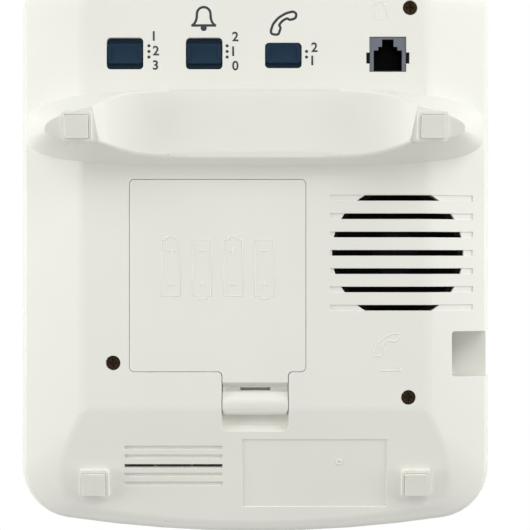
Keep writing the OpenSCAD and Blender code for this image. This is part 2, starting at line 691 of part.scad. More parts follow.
// Slide switch knob: a plate inside the floor and a dished finger block in the window
knob_plate_z = wall + rest_gap;
knob_face = 0.5;
dish_r = 8;
dish_half = knob_l / 2 - 0.6;
module knob(i) color(navy) slab() translate([window_pos(i)[0], knob_y(i), 0]) difference() {
  union() {
    rblock(window_w + 3, window_h(i) + 2 * knob_travel(i) + 2.4, 1, knob_plate_z, knob_plate_z + 1.2);
    rblock(window_w - 0.5, knob_l, 1.2, knob_face, knob_plate_z + eps);
    block([3, 3, board_z - 2 - knob_plate_z], [0, 0, knob_plate_z + 0.5]);
  }
  translate([0, 0, knob_face - sqrt(pow(dish_r, 2) - pow(dish_half, 2))]) rotate([0, 90, 0])
    cylinder(r = dish_r, h = window_w - 3, center = true);
}
module slide_switches() color("dimgray") slab() for (i = [0:2]) difference() {
  block([11, 13, switch_h], [window_pos(i)[0], window_pos(i)[1], board_z - switch_h]);
  block([3.6, 3 + 2 * knob_travel(i) + 0.8, switch_h + 1], [window_pos(i)[0], window_pos(i)[1], board_z - switch_h - 2]);
}

module main_board() color("darkgreen") slab() difference() {
  translate([board_x[0], board_y[0], board_z]) cube([board_x[1] - board_x[0], board_y[1] - board_y[0], board_t]);
  for (p = board_posts) pillar(2 + 2 * slack, p, 0, far);
  for (i = [0, 3]) pillar(9, screw_pos[i], 0, far);
}
module keypad_board() color("darkgreen") slab() difference() {
  translate([keypad_x[0], keypad_y[0], keypad_z])
    cube([keypad_x[1] - keypad_x[0], keypad_y[1] - keypad_y[0], board_t]);
  for (p = posts) pillar(2 + 2 * slack, p, 0, far);
  pillar(7.4, screw_pos[1], 0, far);
}
module keypad_mat() color("lightgray") slab() difference() {
  union() {
    translate([keypad_x[0], keypad_y[0], keypad_z + board_t])
      cube([keypad_x[1] - keypad_x[0], memory_y + small_key_h / 2 + 3 - keypad_y[0], mat_t]);
    for (i = [0:11]) pillar(8, [key_col(i % 3), key_row(floor(i / 3))], mat_top - eps, mat_top + mat_dome);
    for (i = [0:3]) pillar(6, [function_x(i), function_y], mat_top - eps, mat_top + mat_dome);
    for (i = [0:2]) pillar(6, [key_col(i), memory_y], mat_top - eps, mat_top + mat_dome);
  }
  for (p = posts) pillar(post_d + 0.4, p, 0, far);
  pillar(7.4, screw_pos[1], 0, far);
}

// Key with a retaining flange under the top and a shallow dish on its face
key_dish_r = 60;
module key(pos, w, h, r) color(navy) slab() translate([pos[0], pos[1], 0]) difference() {
  union() {
    rblock(w, h, r, flange_bottom, body_t + key_proud);
    rblock(w + 2 * flange_out, h + 2 * flange_out, r + flange_out, flange_bottom, flange_bottom + flange_t);
  }
  translate([0, 0, body_t + key_proud + key_dish_r - 0.6]) sphere(r = key_dish_r, $fn = 96);
}
module digit_key(i) key([key_col(i % 3), key_row(floor(i / 3))], key_w, key_h, 3);
module function_key(i) key([function_x(i), function_y], function_key_w, small_key_h, 2.5);
module memory_key(i) key([key_col(i), memory_y], key_w, small_key_h, 2.5);

module ring_lamp_lens() color("tomato") slab() translate([lamp_pos[0], lamp_pos[1], 0]) {
  translate([0, 0, inner_top - 1.15]) cylinder(d = 12, h = 1);
  translate([0, 0, inner_top - 1.15]) cylinder(d = 9, h = wall + 1.4);
  translate([0, 0, body_t + 0.2]) intersection() {
    translate([0, 0, -4]) sphere(d = 12.04);
    cylinder(d = 9, h = 3);
  }
}
module ring_lamp_led() color("mistyrose") slab() translate([lamp_pos[0], lamp_pos[1], keypad_z + board_t])
  cylinder(d = 5, h = inner_top - 1.15 - 0.3 - keypad_z - board_t);

module hook_plunger() color(navy) slab() translate([plunger_pos[0], plunger_pos[1], 0]) {
  rblock(plunger_size[0], plunger_size[1], 1.7, flange_z - 1.6, plunger_z);
  rblock(plunger_flange, plunger_flange, 2, flange_z - 1.6, flange_z);
}
hook_z = board_z + board_t;
module hook_switch() color("dimgray") slab()
  block([6, 6, flange_z - 1.6 - 0.3 - hook_z], [plunger_pos[0], plunger_pos[1], hook_z]);
module hook_spring() color("silver") slab() translate([plunger_pos[0], plunger_pos[1], hook_z + 0.05])
  coil(5.4, 0.6, 3, flange_z - 1.6 - hook_z - 0.1);

module speaker_frame() color("gray") slab() translate([speaker_x, speaker_y, speaker_z]) rotate_extrude() polygon(
  [[speaker_d / 2 - 3, 0], [speaker_d / 2, 0], [speaker_d / 2, speaker_rim], [speaker_d / 2 - 2, speaker_rim],
    [basket_r, basket_h], [neck_r, basket_h], [neck_r, basket_h - 1], [basket_r - 0.6, basket_h - 1],
    [speaker_d / 2 - 3, 1]]);
module speaker_magnet() color("#333333") slab() translate([speaker_x, speaker_y, speaker_z + basket_h])
  cylinder(d = magnet_d, h = magnet_h);
module speaker_cone() color("#222222") slab() translate([speaker_x, speaker_y, speaker_z]) rotate_extrude() polygon(
  [[speaker_d / 2 - 3.1, 0], [speaker_d / 2 - 3.1, 0.8], [basket_r - 1, basket_h - 1.5],
    [neck_r - 0.5, basket_h - 1.5], [neck_r - 0.5, basket_h - 2], [basket_r - 1.4, basket_h - 2],
    [speaker_d / 2 - 4, 0]]);
lead_x = [plunger_pos[0] - 12, plunger_pos[0] - 9.5];
module speaker_leads() color("firebrick") slab() for (i = [0, 1]) {
  top = hook_z + 4;
  rim_y = speaker_y + sqrt(pow(speaker_d / 2 - 1.2, 2) - pow(lead_x[i] - speaker_x, 2));
  low = speaker_z + speaker_rim + 0.05;
  y1 = board_y[0] + 2.5;
  route = [for (p = [[rim_y, low], [rim_y, low + 1.5], [rim_y + 2, top - 2], [rim_y + 6, top], [y1 - 6, top],
    [y1 - 1.5, top - 1], [y1, hook_z + 1.5], [y1, hook_z + 0.05]]) [lead_x[i], p[0], p[1]]];
  sweep(route, [for (p = route) [1, 0, 0]], 0.7, 8);
}

// Sockets: a stepped opening with a latch keyway
module line_jack() color("#5b5f64") slab() translate([line_x, line_y, 0]) difference() {
  union() {
    block([line_w, line_h, board_z - 0.4], [0, 0, 0.4]);
    block([line_tabs, 3.65, 3], [0, -1.3, 0.6]);
  }
  for (s = line_plug) translate([-s[0] / 2, s[1], -1]) cube([s[0], s[2] - s[1] + eps, 12]);
}
module line_jack_contacts() color("goldenrod") slab() for (i = [-1.5:1.5])
  block([0.5, 0.5, 6.4], [line_x + i * 1.02, line_y + line_plug[0][1] + 0.3, 4.5]);
module handset_jack() color("#5b5f64") slab() difference() {
  translate([jack_x, jack_mid - jack_w / 2, jack_z]) cube([jack_l, jack_w, notch_top - jack_z]);
  translate([jack_x - 1, jack_mid - 3.9, jack_z + 1]) cube([jack_l - 1, 7.8, 6.6]);
  translate([jack_x - 1, jack_mid - 1.6, jack_z + 1]) cube([jack_l - 1, 3.2, 8]);
}
module handset_jack_contacts() color("goldenrod") slab() for (i = [-1.5:1.5])
  translate([jack_x + 2, jack_mid + i * 1.02 - 0.25, jack_z + 1.05]) cube([9, 0.5, 0.5]);

module case_screws() color("#48423a") slab() for (p = screw_pos) translate([p[0], p[1], screw_sunk]) {
  difference() {
    cylinder(d = screw_head, h = screw_head_t);
    for (a = [0, 90]) rotate([0, 0, a]) block([2.8, 0.7, 1.6], [0, 0, -0.6]);
  }
  translate([0, 0, screw_head_t - eps]) cylinder(d = screw_d, h = boss_top + 6 - screw_sunk - screw_head_t);
}
module board_screws() color("silver") slab() {
  for (p = board_posts) {
    pillar(4, p, board_z + board_t, board_z + board_t + 1.5);
    pillar(2, p, board_z - 5, board_z + board_t + eps);
  }
  for (p = posts) {
    pillar(4, p, keypad_z - 1.5, keypad_z);
    pillar(2, p, keypad_z - eps, keypad_z + board_t + 3);
  }
}

module base_microphone() color("silver") pad() pillar(mic_d, mic_pos, wall + 1, wall + 1 + mic_h);
module microphone_boot() color("#2a2a2a") pad() difference() {
  pillar(mic_d + 2, mic_pos, wall + 0.05, wall + mic_h);
  pillar(mic_d + 2 * slack, mic_pos, wall + 0.95, far);
  pillar(1.5, mic_pos, 0, far);
}
module board_ribbon() color("lightslategray") slab()
  block([20, 0.5, keypad_z - hook_z], [window_pos(1)[0], board_y[0] + 4, hook_z]);

// Handset: cups at both ends, a grip between them, all one form split into two shells
function smooth(t) = let (s = max(0, min(1, t))) s * s * (3 - 2 * s);
function turn_in(d, r) = d < r ? r - sqrt(r * r - (r - d) * (r - d)) : 0;
function handset_half(d) = (cup_w + (grip_w - cup_w) * smooth((d - cup_l + 4) / (2 * cup_blend))) / 2
  - turn_in(d, end_round);
function handset_under(d) = cup_z + (grip_z - cup_z) * smooth((d - cup_l) / cup_blend) + turn_in(d, 4);
function handset_back_z(d) = back_z - 6 * pow(1 - 2 * d / handset_l, 2) - turn_in(d, 8);
function handset_ring(y) = let (d = min(y - handset_y0, handset_y1 - y), low = handset_under(d),
  high = handset_back_z(d))
  [for (k = [0:ring_points - 1]) let (t = 360 * (k + 0.5) / ring_points)
    [handset_x + handset_half(d) * sign(cos(t)) * pow(abs(cos(t)), 0.42), y,
      (low + high) / 2 + (high - low) / 2 * sign(sin(t)) * pow(abs(sin(t)), 0.42)]];
ring_points = 36;
blend_steps = 6;
stations = concat([0, 0.5, 1.5, 3, 5, 7.5, 10.5, end_round, 24, cup_l - 4],
  [for (i = [0:blend_steps]) cup_l + cup_blend * i / blend_steps], [cup_l + 18, cup_l + 30]);
module handset_form() {
  near = [for (d = stations) handset_y0 + d];
  last = len(stations) - 1;
  distant = [for (i = [0:last]) handset_y1 - stations[last - i]];
  skin([for (y = concat(near, [handset_y], distant)) handset_ring(y)]);
}
screw_blocks = [handset_y - 26, handset_y + 26];
module handset_hollow() {
  z0 = grip_z + wall;
  for (y = [ear_y, mouth_y]) pillar(capsule_d + 2, [handset_x, y], capsule_z, split_z);
  difference() {
    block([28, handset_l - 22, 5.3], [handset_x, handset_y, z0]);
    for (y = screw_blocks) block([30, 8, 9], [handset_x, y, z0 - 2]);
  }
}
module handset_outer_shell() color(cream) slab() difference() {
  handset_form();
  translate([-far, -far, -far]) cube([2 * far, 2 * far, far + split_z]);
  handset_hollow();
  for (y = screw_blocks) pillar(small_screw_d + 2 * slack, [handset_x, y], 0, split_z + 5.5);
}
module handset_inner_shell() color(cream) slab() difference() {
  handset_form();
  translate([-far, -far, split_z]) cube([2 * far, 2 * far, far]);
  handset_hollow();
  for (y = screw_blocks) {
    pillar(small_screw_d + 2 * slack, [handset_x, y], 0, far);
    pillar(small_screw_head + 4 * slack, [handset_x, y], 0, grip_z + 2);
  }
  for (a = [0:60:300]) pillar(2, [handset_x + 6 * cos(a), ear_y + 6 * sin(a)], 0, cup_z + 4);
  pillar(2, [handset_x, ear_y], 0, cup_z + 4);
  block([8, 1.4, 8], [handset_x, mouth_y, cup_z - 3]);
  block([11 + 2 * slack, 15, 10 + 2 * slack], [handset_x, handset_y0 + 6.5, socket_z - slack]);
}
module earpiece_capsule() color("#333333") slab() {
  z1 = capsule_z + 0.05 + capsule_h;
  pillar(capsule_d, [handset_x, ear_y], capsule_z + 0.05, z1);
  pillar(capsule_magnet, [handset_x, ear_y], z1 - eps, z1 + 2.35);
}
module handset_microphone() color("silver") slab() pillar(mic_d, [handset_x, mouth_y], capsule_z + 0.05, capsule_z + 0.05 + mic_h);
module handset_socket() color("#5b5f64") slab() difference() {
  block([11, 13, 10], [handset_x, handset_y0 + 7.1, socket_z]);
  block([7.8, 12, 6.6], [handset_x, handset_y0 + 5.6, socket_z + 1]);
  block([3.2, 12, 8], [handset_x, handset_y0 + 5.6, socket_z + 1]);
}
module handset_weight() color("slategray") slab()
  block([weight_w, weight_l, weight_t], [handset_x, handset_y, grip_z + wall + 0.05]);
module handset_screws() color("#48423a") slab() for (y = screw_blocks) {
  pillar(small_screw_head, [handset_x, y], grip_z + 0.4, grip_z + 2);
  pillar(small_screw_d, [handset_x, y], grip_z + 2 - eps, split_z + 5);
}

lower_case();
upper_case();
battery_cover();
battery_latch();
slide_switches();
main_board();
keypad_board();
keypad_mat();
ring_lamp_lens();
ring_lamp_led();
hook_plunger();
hook_spring();
hook_switch();
speaker_frame();
speaker_magnet();
speaker_cone();
speaker_leads();
line_jack();
line_jack_contacts();
handset_jack();
handset_jack_contacts();
battery_cells();
battery_contacts();
battery_springs();
rubber_feet();
case_screws();
board_screws();
base_microphone();
microphone_boot();
board_ribbon();
handset_outer_shell();
handset_inner_shell();
earpiece_capsule();
handset_microphone();
handset_socket();
handset_weight();
handset_screws();
for (i = [0:2]) knob(i);
for (i = [0:11]) digit_key(i);
for (i = [0:3]) function_key(i);
for (i = [0:2]) memory_key(i);
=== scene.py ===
"""Looks of a corded desk telephone, laid out as an add-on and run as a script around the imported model."""
import json
import math

import bmesh
import bpy
from mathutils import Matrix, Vector


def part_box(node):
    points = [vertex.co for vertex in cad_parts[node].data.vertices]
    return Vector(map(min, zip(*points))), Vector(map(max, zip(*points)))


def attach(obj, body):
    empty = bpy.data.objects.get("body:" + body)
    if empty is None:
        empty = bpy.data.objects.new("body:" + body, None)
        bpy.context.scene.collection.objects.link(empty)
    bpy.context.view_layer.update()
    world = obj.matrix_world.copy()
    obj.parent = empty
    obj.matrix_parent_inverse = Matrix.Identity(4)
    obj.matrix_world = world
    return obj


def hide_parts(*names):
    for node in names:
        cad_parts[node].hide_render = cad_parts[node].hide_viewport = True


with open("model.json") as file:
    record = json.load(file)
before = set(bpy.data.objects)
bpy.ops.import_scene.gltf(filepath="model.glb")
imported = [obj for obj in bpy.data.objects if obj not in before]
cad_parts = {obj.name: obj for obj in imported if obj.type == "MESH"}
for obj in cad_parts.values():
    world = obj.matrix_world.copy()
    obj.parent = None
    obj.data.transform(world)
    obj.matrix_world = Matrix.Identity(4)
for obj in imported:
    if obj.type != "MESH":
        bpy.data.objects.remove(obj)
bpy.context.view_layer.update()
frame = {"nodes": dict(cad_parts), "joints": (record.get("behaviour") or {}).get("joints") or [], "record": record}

bl_info = {
    "name": "Desk Telephone Looks",
    "version": (1, 0, 0),
    "blender": (4, 5, 0),
    "location": "View3D > Sidebar > Telephone",
    "description": "Dresses the desk telephone's solids with moulded shells, marks, finishes and a studio",
    "category": "Object",
}

MM = 0.001
# Lengths below this count as nothing
SLACK = 0.01 * MM
NODES = frame["nodes"]
JOINTS = {joint["name"]: joint for joint in frame["joints"]}

# The slab frame: x to the user's right, y to the rear along the underside, z square to it, from the crease
ACROSS = Vector((1, 0, 0))
UP = Vector(JOINTS["handset_lift"]["axis"])
REAR = UP.cross(ACROSS)
DOWN = Vector((0, 0, -1))
# The battery cover's hinge, and how far behind the crease it lies along the slab
HINGE = JOINTS["battery_cover_hinge"]["pos_m"]
HINGE_Y = 81.25 * MM
CREASE = Vector((0, HINGE[1], HINGE[2])) - REAR * HINGE_Y
SLAB = Matrix.Translation(CREASE) @ Matrix((ACROSS, REAR, UP)).transposed().to_4x4()
TO_SLAB = SLAB.inverted()

BODY_OF = {node: body for body, nodes in frame["record"]["behaviour"]["bodies"].items() for node in nodes}
SLOT_OF = {part["node"]: part["material_slot"] for part in frame["record"]["subparts"]}
KNOBS = ("recall_knob", "ringer_knob", "receiver_knob")
MEMORY_KEYS = ("key_memory_1", "key_memory_2", "key_memory_3")
KEYS = sorted(name for name in NODES if name.startswith("key_"))


def slab(x, y, z):
    """A point given in slab millimetres, in the model's metres."""
    return SLAB @ (Vector((x, y, z)) * MM)


def in_slab(point):
    """A point given in the model's metres, in slab millimetres."""
    return (TO_SLAB @ point) / MM


def reading(x, y, z=0):
    """The frame of a mark or a camera on the underside: to the reader's right, to the rear, and outwards."""
    return Matrix.Translation(slab(x, y, z)) @ Matrix((-ACROSS, REAR, -UP)).transposed().to_4x4()


def on_pad(x, y, depth):
    """The frame of a mark on the level front pad, sunk by a depth, as the camera sees it."""
    spot = Vector((x * MM, CREASE.y + y * MM / REAR.y, CREASE.z + depth * MM))
    return Matrix.Translation(spot) @ Matrix((-ACROSS, Vector((0, 1, 0)), DOWN)).transposed().to_4x4()


def linear(code):
    """Linear colour of an sRGB hex value, with alpha 1."""
    parts = [int(code[i:i + 2], 16) / 255 for i in (1, 3, 5)]
    return [p / 12.92 if p <= 0.04045 else ((p + 0.055) / 1.055) ** 2.4 for p in parts] + [1.0]


def colour_prop(name, code, description):
    """A colour that a user may change, with its default as a hex value."""
    return bpy.props.FloatVectorProperty(
        name=name, description=description, subtype="COLOR", size=4, min=0, max=1, default=linear(code))


def length_prop(name, value, description):
    """A length in metres that a user may change, with its default in millimetres."""
    return bpy.props.FloatProperty(
        name=name, description=description, subtype="DISTANCE", unit="LENGTH", min=0, default=value * MM)


class TelephoneColours(bpy.types.PropertyGroup):
    """Colours of the telephone's finishes."""
    shell: colour_prop("Shell", "#e9e9e1", "Warm white ABS of the case, the cover and the handset")
    control: colour_prop("Controls", "#193043", "Navy ABS of the keys and the switch knobs")
    foot: colour_prop("Feet", "#e2e2d9", "Pale rubber of the foot pads")
    socket: colour_prop("Sockets", "#656a75", "Grey nylon of the modular sockets")
    ink: colour_prop("Ink", "#3a3f45", "Printed marks beside the switches")
    legend: colour_prop("Legends", "#e8e8e4", "Printed figures on the keys")
    lamp: colour_prop("Lamp", "#c8241c", "Red acrylic of the ring lamp")
    screw: colour_prop("Screws", "#33291e", "Blackened steel of the case screws")


class TelephoneSizes(bpy.types.PropertyGroup):
    """Sizes of the details that are added to the solids."""
    shell_edge: length_prop("Shell edge", 0.15, "Rounding of the moulded shells' edges")
    top_edge: length_prop("Top edge", 0.5, "Rounding of the edges of the upper case")
    ridge_edge: length_prop("Ridge edge", 1.1, "Rounding along the stand ridge")
    floor_blend: length_prop("Floor blend", 2.4, "Half width of the blends beside the floor")
    latch_corner: length_prop("Latch corner", 1.3, "Rounding of the latch's front corners")
    key_edge: length_prop("Key edge", 0.6, "Rounding around a key's face")
    knob_edge: length_prop("Knob edge", 0.25, "Rounding around a knob's block")
    socket_edge: length_prop("Socket edge", 0.06, "Rounding of the sockets' thin walls")
    screw_edge: length_prop("Screw edge", 0.15, "Rounding of the screw heads")
    foot_edge: length_prop("Foot edge", 0.25, "Rounding of the foot pads")
    print_depth: length_prop("Print", 0.05, "Thickness of a printed mark")
    figure_height: length_prop("Figure", 3.4, "Height of the figures beside the switches")
    dot_radius: length_prop("Dot", 0.55, "Radius of the dots beside the switches")
    line_width: length_prop("Line", 0.9, "Width of the lines in the bell and the receiver")
    key_figure: length_prop("Key figure", 6.5, "Height of the figures on the digit keys")
    sign_width: length_prop("Sign", 0.55, "Width of the lines in the signs on the function keys")
    raised_width: length_prop("Raised line", 0.7, "Width of the raised lines of the moulded marks")
    raised_height: length_prop("Raised height", 0.12, "Height of the moulded marks above their face")


def shader(name):
    """A new node material with its tree, its shader and its object coordinates."""
    material = bpy.data.materials.new(name)
    material.use_nodes = True
    tree = material.node_tree
    bsdf = tree.nodes["Principled BSDF"]
    coords = add(tree, "ShaderNodeTexCoord").outputs["Object"]
    return material, tree, bsdf, coords


def add(tree, kind, settings=None, links=None, **sockets):
    """One node with its settings, its socket values and its incoming links."""
    node = tree.nodes.new(kind)
    for key, value in (settings or {}).items():
        setattr(node, key, value)
    for key, value in sockets.items():
        node.inputs[key.replace("_", " ")].default_value = value
    for key, source in (links or {}).items():
        tree.links.new(source, node.inputs[key])
    return node


def grain(tree, bsdf, coords, size_mm, depth_mm, strength):
    """Fine surface texture of a given grain size and depth, fed to the shader's normal."""
    noise = add(tree, "ShaderNodeTexNoise", links={"Vector": coords}, Scale=1 / (size_mm * MM), Detail=3.0)
    bump = add(tree, "ShaderNodeBump", links={"Height": noise.outputs["Fac"]}, Strength=strength,
               Distance=depth_mm * MM)
    tree.links.new(bump.outputs["Normal"], bsdf.inputs["Normal"])


# Values of the noise between which a colour drifts from its dark to its light end
DRIFT = (0.35, 0.65)


def tint(tree, bsdf, coords, colour, size_mm, spread):
    """Slow drift of a colour around its named value."""
    noise = add(tree, "ShaderNodeTexNoise", links={"Vector": coords}, Scale=1 / (size_mm * MM), Detail=2.0)
    ramp = add(tree, "ShaderNodeValToRGB", links={"Fac": noise.outputs["Fac"]})
    for element, position, level in zip(ramp.color_ramp.elements, DRIFT, (1 - spread, 1 + spread)):
        element.position = position
        element.color = [min(1, c * level) for c in colour[:3]] + [1]
    tree.links.new(ramp.outputs["Color"], bsdf.inputs["Base Color"])


def gloss(tree, bsdf, coords, rough, sway, size_mm):
    """Roughness that wanders about a value."""
    noise = add(tree, "ShaderNodeTexNoise", links={"Vector": coords}, Scale=1 / (size_mm * MM), Detail=2.0)
    spread = add(tree, "ShaderNodeMapRange", links={"Value": noise.outputs["Fac"]},
                 To_Min=rough - sway, To_Max=rough + sway)
    tree.links.new(spread.outputs["Result"], bsdf.inputs["Roughness"])


def moulded(name, colour, rough, grain_mm, depth_mm, ior=1.54, sheen=0.5):
    """Moulded plastic: an even colour, a fine spark-eroded texture and a soft sheen."""
    material, tree, bsdf, coords = shader(name)
    bsdf.inputs["IOR"].default_value = ior
    bsdf.inputs["Specular IOR Level"].default_value = sheen
    tint(tree, bsdf, coords, colour_of(colour), size_mm=40, spread=0.012)
    gloss(tree, bsdf, coords, rough, sway=0.05, size_mm=6)
    grain(tree, bsdf, coords, grain_mm, depth_mm, strength=0.35)
    return material


def metal(name, colour, rough, scratch_mm):
    """Plated or blackened metal with fine scratches in its gloss."""
    material, tree, bsdf, coords = shader(name)
    bsdf.inputs["Metallic"].default_value = 1.0
    tint(tree, bsdf, coords, colour_of(colour), size_mm=3, spread=0.06)
    gloss(tree, bsdf, coords, rough, sway=0.08, size_mm=scratch_mm)
    return material


def colour_of(value):
    """A colour given as a hex value, or by its name among the colours that a user may change."""
    if value.startswith("#"):
        return linear(value)
    return getattr(bpy.context.scene.telephone_colours, value)


MOULDINGS = {
    # ABS moulded in a spark-eroded tool: warm white and matt, with a fine even texture and a faint sheen
    "abs_shell": dict(colour="shell", rough=0.42, grain_mm=0.5, depth_mm=0.02),
    # Dyed ABS from a smoother tool: deep navy with a soft highlight along each rounded edge
    "abs_control": dict(colour="control", rough=0.3, grain_mm=0.5, depth_mm=0.015, sheen=0.12),
    # Black ABS of small inner parts: a dull charcoal
    "abs_black": dict(colour="#2b2c2e", rough=0.45, grain_mm=0.4, depth_mm=0.015),
    # Filled nylon of a socket: cool grey with a waxy sheen
    "nylon_socket": dict(colour="socket", rough=0.4, grain_mm=0.3, depth_mm=0.01, ior=1.53),
    # The same nylon made nearly black: painted shade inside a socket's bore, and the same dark on the line
    # socket's ears
    "nylon_bore": dict(colour="#0d0d0f", rough=0.6, grain_mm=0.3, depth_mm=0.01, ior=1.53, sheen=0.1),
    # Stamped rubber sheet: pale and dull, with a dusty tooth
    "rubber_foot": dict(colour="foot", rough=0.7, grain_mm=0.3, depth_mm=0.03, ior=1.5),
    # Moulded black rubber: dull, with hardly a highlight
    "rubber_black": dict(colour="#1a1a1a", rough=0.75, grain_mm=0.3, depth_mm=0.03, ior=1.5, sheen=0.15),
    # Pressed silicone sheet: milky grey and soft
    "silicone_mat": dict(colour="#b9b9b4", rough=0.6, grain_mm=0.6, depth_mm=0.02, ior=1.43),
    # Epoxy board under its solder mask: dark green and fairly glossy
    "solder_mask": dict(colour="#1d5a37", rough=0.35, grain_mm=0.8, depth_mm=0.01, ior=1.5),
    # PVC sleeve of a lead: plain red with a soft sheen
    "pvc_lead": dict(colour="#9d2b26", rough=0.45, grain_mm=0.3, depth_mm=0.01, ior=1.53),
    # Polyester film over flat conductors: silvery grey
    "ribbon_film": dict(colour="#8c9299", rough=0.4, grain_mm=0.4, depth_mm=0.01, ior=1.53),
    # Pressed paper pulp of a loudspeaker cone: black and fibrous
    "pressed_paper": dict(colour="#141312", rough=0.85, grain_mm=0.4, depth_mm=0.04, ior=1.4, sheen=0.1),
    # Black coat on the loudspeaker's basket and magnet and on the microphone: painted shade, so what shows through
    # the grille and the vent slot stays dark; smooth and dull
    "enamel_black": dict(colour="#0c0c0d", rough=0.5, grain_mm=0.5, depth_mm=0.01, ior=1.5, sheen=0.2),
    # Shrunk film round a battery cell: plain green with a clear gloss
    "cell_wrap": dict(colour="#3f5f3a", rough=0.3, grain_mm=0.8, depth_mm=0.01, ior=1.5),
    # Polished acrylic of the ring lamp: clear deep red
    "acrylic_lamp": dict(colour="lamp", rough=0.12, grain_mm=2.0, depth_mm=0.004, ior=1.49),
    # Cast epoxy of a small lamp: pale and glassy
    "epoxy_led": dict(colour="#d8c4c0", rough=0.15, grain_mm=1.0, depth_mm=0.005, ior=1.5),
    # Pad-printed ink on the case: flat grey
    "ink_mark": dict(colour="ink", rough=0.5, grain_mm=0.2, depth_mm=0.005, ior=1.5, sheen=0.2),
    # Screen-printed ink on the keys: flat off-white
    "ink_legend": dict(colour="legend", rough=0.45, grain_mm=0.2, depth_mm=0.005, ior=1.5),
}
METALS = {
    # Nickel-plated steel strip and wire: bright grey with fine scratches
    "steel_plated": dict(colour="#b9bab8", rough=0.3, scratch_mm=0.4),
    # Steel screws blackened in oil: dark brown-black with a dull glint
    "steel_black": dict(colour="screw", rough=0.42, scratch_mm=0.3),
    # Gold flash on the socket wires: warm and bright
    "gold_plate": dict(colour="#d8b15a", rough=0.25, scratch_mm=0.3),
    # Ground ferrite of the magnet: dark grey with a dull shine
    "ferrite_ground": dict(colour="#3a3a3c", rough=0.5, scratch_mm=0.6),
    # Cast iron of the handset's weight: grey and coarse
    "iron_cast": dict(colour="#6d6d70", rough=0.55, scratch_mm=1.0),
}
_finishes = {}


def finish(name):
    """The named finish, made on first use."""
    if name not in _finishes:
        if name in METALS:
            _finishes[name] = metal(name, **METALS[name])
        else:
            _finishes[name] = moulded(name, **MOULDINGS[name])
    return _finishes[name]


SLOT_FINISH = {
    "case_abs": "abs_shell", "navy_abs": "abs_control", "dark_plastic": "abs_black",
    "jack_grey": "nylon_socket", "circuit_board": "solder_mask", "silicone": "silicone_mat",
    "lamp_red": "acrylic_lamp", "led_clear": "epoxy_led", "spring_steel": "steel_plated",
    "steel": "steel_plated", "dark_steel": "steel_black", "ferrite": "ferrite_ground",
    "weight_iron": "iron_cast", "paper_black": "pressed_paper", "lead_red": "pvc_lead",
    "gold": "gold_plate", "cell_wrap": "cell_wrap", "foot_rubber": "rubber_foot",
    "black_rubber": "rubber_black", "ribbon": "ribbon_film",
}
# Solids behind the grille and the vent slot, given a black coat of painted shade
SHADE_COATED = {node: "enamel_black" for node in ("speaker_frame", "speaker_magnet", "base_microphone")}


def dress(thing, name):
    """Give an object one finish all over."""
    thing.data.materials.clear()
    thing.data.materials.append(finish(name))


def alone(thing):
    """Select one object and nothing else."""
    bpy.ops.object.select_all(action="DESELECT")
    thing.select_set(True)
    bpy.context.view_layer.objects.active = thing


def apply(thing, kind, **settings):
    """Add a modifier with its settings and apply it."""
    alone(thing)
    modifier = thing.modifiers.new(kind.lower(), kind)
    for key, value in settings.items():
        setattr(modifier, key, value)
    bpy.ops.object.modifier_apply(modifier=modifier.name)


def merged(node, name):
    """A copy of a solid as one closed mesh with whole flat faces."""
    thing = bpy.data.objects.new(name, NODES[node].data.copy())
    bpy.context.scene.collection.objects.link(thing)
    alone(thing)
    bpy.ops.mesh.customdata_custom_splitnormals_clear()
    bpy.ops.object.mode_set(mode="EDIT")
    bpy.ops.mesh.select_all(action="SELECT")
    bpy.ops.mesh.remove_doubles(threshold=SLACK)
    bpy.ops.mesh.dissolve_limited(angle_limit=math.radians(0.5))
    bpy.ops.object.mode_set(mode="OBJECT")
    return thing


def round_edges(thing, share, width, segments):
    """Round the edges of a piece, each by the share of a width that a rule gives it."""
    mesh = bmesh.new()
    mesh.from_mesh(thing.data)
    shares = mesh.edges.layers.float.new("bevel_weight_edge")
    for edge in mesh.edges:
        if len(edge.link_faces) == 2:
            edge[shares] = share(edge)
    mesh.to_mesh(thing.data)
    mesh.free()
    apply(thing, "BEVEL", width=width, segments=segments, limit_method="WEIGHT", use_clamp_overlap=False,
          loop_slide=False)
    thing.data.attributes.remove(thing.data.attributes["bevel_weight_edge"])


# How far off a face a ray starts, so that it misses the face itself
RAY_START = 0.02 * MM
# Cosine of the angle within which a face looks into a piece's open inside
INWARD = 0.5
# Turn between two faces, in degrees, from which their edge is sharp
SHARP_TURN = 40


def eased(thing, width, angle=SHARP_TURN, segments=2, inside=None, hollows=True):
    """Ease the sharp edges that show, with or without inner corners, and keep the flats flat in shading."""
    def shows(face, spot):
        """Whether a face looks out of the piece, and not up or down its open inside."""
        if inside is not None and face.normal.dot(inside) > INWARD:
            return False
        return not thing.ray_cast(spot + face.normal * RAY_START, face.normal)[0]

    def share(edge):
        """Full width for a sharp edge that shows."""
        if edge.calc_face_angle() < math.radians(angle) or not (hollows or edge.is_convex):
            return 0.0
        spot = (edge.verts[0].co + edge.verts[1].co) / 2
        return float(any(shows(face, spot) for face in edge.link_faces))

    round_edges(thing, share, width, segments)
    bpy.ops.object.shade_smooth_by_angle(angle=math.radians(SHARP_TURN))
    apply(thing, "WEIGHTED_NORMAL", keep_sharp=True, weight=50)


def settle(thing, body, slot, look, *nodes):
    """Finish a piece and let it ride on its body, in place of its solids."""
    dress(thing, look)
    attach(thing, body)
    if nodes:
        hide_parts(*nodes)
    return thing


def stand_for(node, thing):
    """Settle a piece that stands for one solid, with that solid's own finish."""
    return settle(thing, BODY_OF[node], SLOT_OF[node], SLOT_FINISH[SLOT_OF[node]], node)


def eased_copy(node, name, width, **settings):
    """A copy of a solid with eased edges, in its place."""
    thing = merged(node, name)
    eased(thing, width, **settings)
    return stand_for(node, thing)


